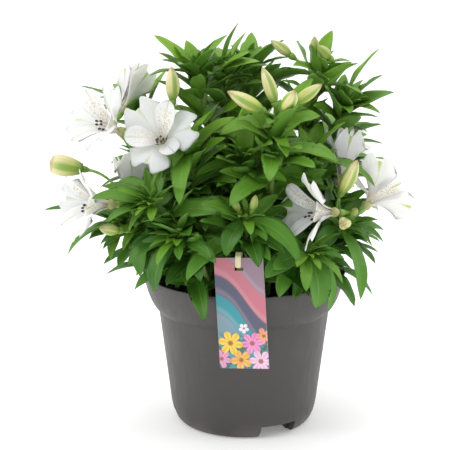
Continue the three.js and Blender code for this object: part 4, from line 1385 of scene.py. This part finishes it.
def make_bloom(number, bloom, paints, flowers):
    way = unit(np.array(bloom["faces"], float))
    right = unit(np.cross(UP, way))
    over = np.cross(way, right)
    foot = np.array(bloom["seat"], float) + way * GAP
    opened = bloom["open"]
    rise = mix(CLOSED_RISE, OUTER_RISE, opened / FULL_OPEN)
    breadth = min(mix(CLOSED_BREADTH, 1, opened / FULL_OPEN), 1)
    form = Form()

    def radial(degrees):
        angle = math.radians(degrees)
        return math.cos(angle) * right + math.sin(angle) * over

    def tepal(out, seat, rise, bend, length, shape, paint, tint):
        rings = blade_rings(foot + way * TEPAL_SEAT + out * seat, out, way, math.radians(rise),
                            math.radians(bend), length, shape, TEPAL_GRID, TEPAL_SKIN)
        form.blade(rings, paint, tint)
        flowers.add(rings[::2, ::2])

    form.tube([foot + way * d for d in (0, 1.5, 3.5, 5, 7, 9)], [2.4, 3.2, 4.3, 4.8, 4, 2.4], 18, BASE)
    for i in range(3):
        seed = 10 * number + i
        tepal(radial(bloom["turn"] + i * 120), OUTER_SEAT, rise, opened, TEPAL_LENGTH,
              outer_shape(seed, breadth), OUTER, (chance(number, i, 83), 0.0))
        out = radial(bloom["turn"] + 60 + i * 120)
        flecked = limit(0.75 + out.dot(over), 0.15, 1)
        length = TEPAL_LENGTH * (LOWEST_SHARE if i == 2 else 1)
        tepal(out, INNER_SEAT, rise + INNER_LEAN, opened - INNER_CLOSING, length,
              inner_shape(seed, breadth), INNER, (chance(number, i, 84), flecked))
    for i in range(STAMENS):
        out = radial(i * 360 / STAMENS + 20)
        reach = STAMEN_REACH * mix(0.72, 1, chance(number, i, 85))
        end = foot + way * reach + out * mix(2, 4, chance(number, i, 86)) - over * STAMEN_DROOP
        control = foot + way * reach * 0.6 + out * 3.2
        path = quadratic(foot + way * 5 + out * 1.2, control, end, steps(12))
        form.tube(path, [STAMEN_RADIUS] * 12, 6, FILAMENT)
        tip = unit(end - path[-2] + 0.6 * out)
        form.tube([end + tip * d for d in (-1.6, -1.2, 0, 1.2, 1.7)], [0, 0.8, 1.1, 0.8, 0], 8, ANTHER)
    form.make(f"lily_bloom_{number + 1:02d}", paints, "tepal", [f"bloom_{number + 1:02d}"])


def make_blooms(flowers):
    paints = [
        tepal_paint("tepal_outer", False),
        tepal_paint("tepal_inner", True),
        plain_paint("filament", (0.7, 0.66, 0.6), (0.8, 0.74, 0.7), 200, 0.5),
        plain_paint("anther", (0.035, 0.02, 0.024), (0.1, 0.07, 0.06), 700, 0.8, 0.2),
        plain_paint("bloom_base", (0.34, 0.42, 0.12), (0.62, 0.5, 0.32), 120, 0.5),
    ]
    blooms = [flower for cluster in UMBELS.values() for flower in cluster if "faces" in flower]
    for number, bloom in enumerate(blooms):
        make_bloom(number, bloom, paints, flowers)
    flowers.settle()


# Stage
def studio_world():
    """Soft light all round, brightest overhead and at the back, and dim in front."""
    world = bpy.data.worlds.new("studio")
    world.use_nodes = True
    tree = world.node_tree
    background = tree.nodes["Background"]
    background.inputs["Color"].default_value = (1, 1, 1, 1)
    split = tree.nodes.new("ShaderNodeSeparateXYZ")
    ramp = tree.nodes.new("ShaderNodeMapRange")
    ramp.interpolation_type = "SMOOTHSTEP"
    levels = {"From Min": -0.9, "From Max": 0.1, "To Min": WORLD_FRONT, "To Max": WORLD_BACK}
    for socket, value in levels.items():
        ramp.inputs[socket].default_value = value
    tree.links.new(tree.nodes.new("ShaderNodeTexCoord").outputs["Generated"], split.inputs[0])
    tree.links.new(split.outputs["Y"], ramp.inputs["Value"])
    tree.links.new(ramp.outputs[0], background.inputs["Strength"])
    return world


def make_floor():
    """A pale floor with a little light of its own, so that it stays white up to the pot."""
    mesh = bpy.data.meshes.new("floor")
    mesh.from_pydata(FLOOR_CORNERS, [], [(0, 1, 2, 3)])
    floor = placed("floor", mesh)
    paint = plain_paint("floor_pale", (0.95, 0.95, 0.95), (0.97, 0.97, 0.97), 3, 0.8, 0.02,
                        Emission_Color=(1, 1, 1, 1), Emission_Strength=FLOOR_GLOW)
    mesh.materials.append(paint.material)


def aimed(name, data, place, target):
    thing = placed(name, data)
    thing.location = place
    thing.rotation_mode = "QUATERNION"
    thing.rotation_quaternion = (Vector(target) - Vector(place)).to_track_quat("-Z", "Y")
    return thing


def make_stage():
    scene = bpy.context.scene
    make_floor()
    scene.world = studio_world()
    for name, place, size, power in LAMPS:
        light = bpy.data.lights.new(name, "AREA")
        light.shape = "DISK"
        light.size = size
        light.energy = power
        aimed(name, light, place, LAMP_TARGET)
    camera = bpy.data.cameras.new("camera")
    camera.sensor_width = SENSOR
    camera.lens = LENS
    camera.clip_end = SIGHT
    scene.camera = aimed("camera", camera, EYE, EYE_TARGET)
    scene.view_settings.view_transform = "Standard"


crowd = Crowd()
flowers = Crowd()
make_pot()
make_soil()
make_tag()
make_stake()
make_umbels(crowd)
make_blooms(flowers)
make_shoots(crowd, flowers)
make_stage()
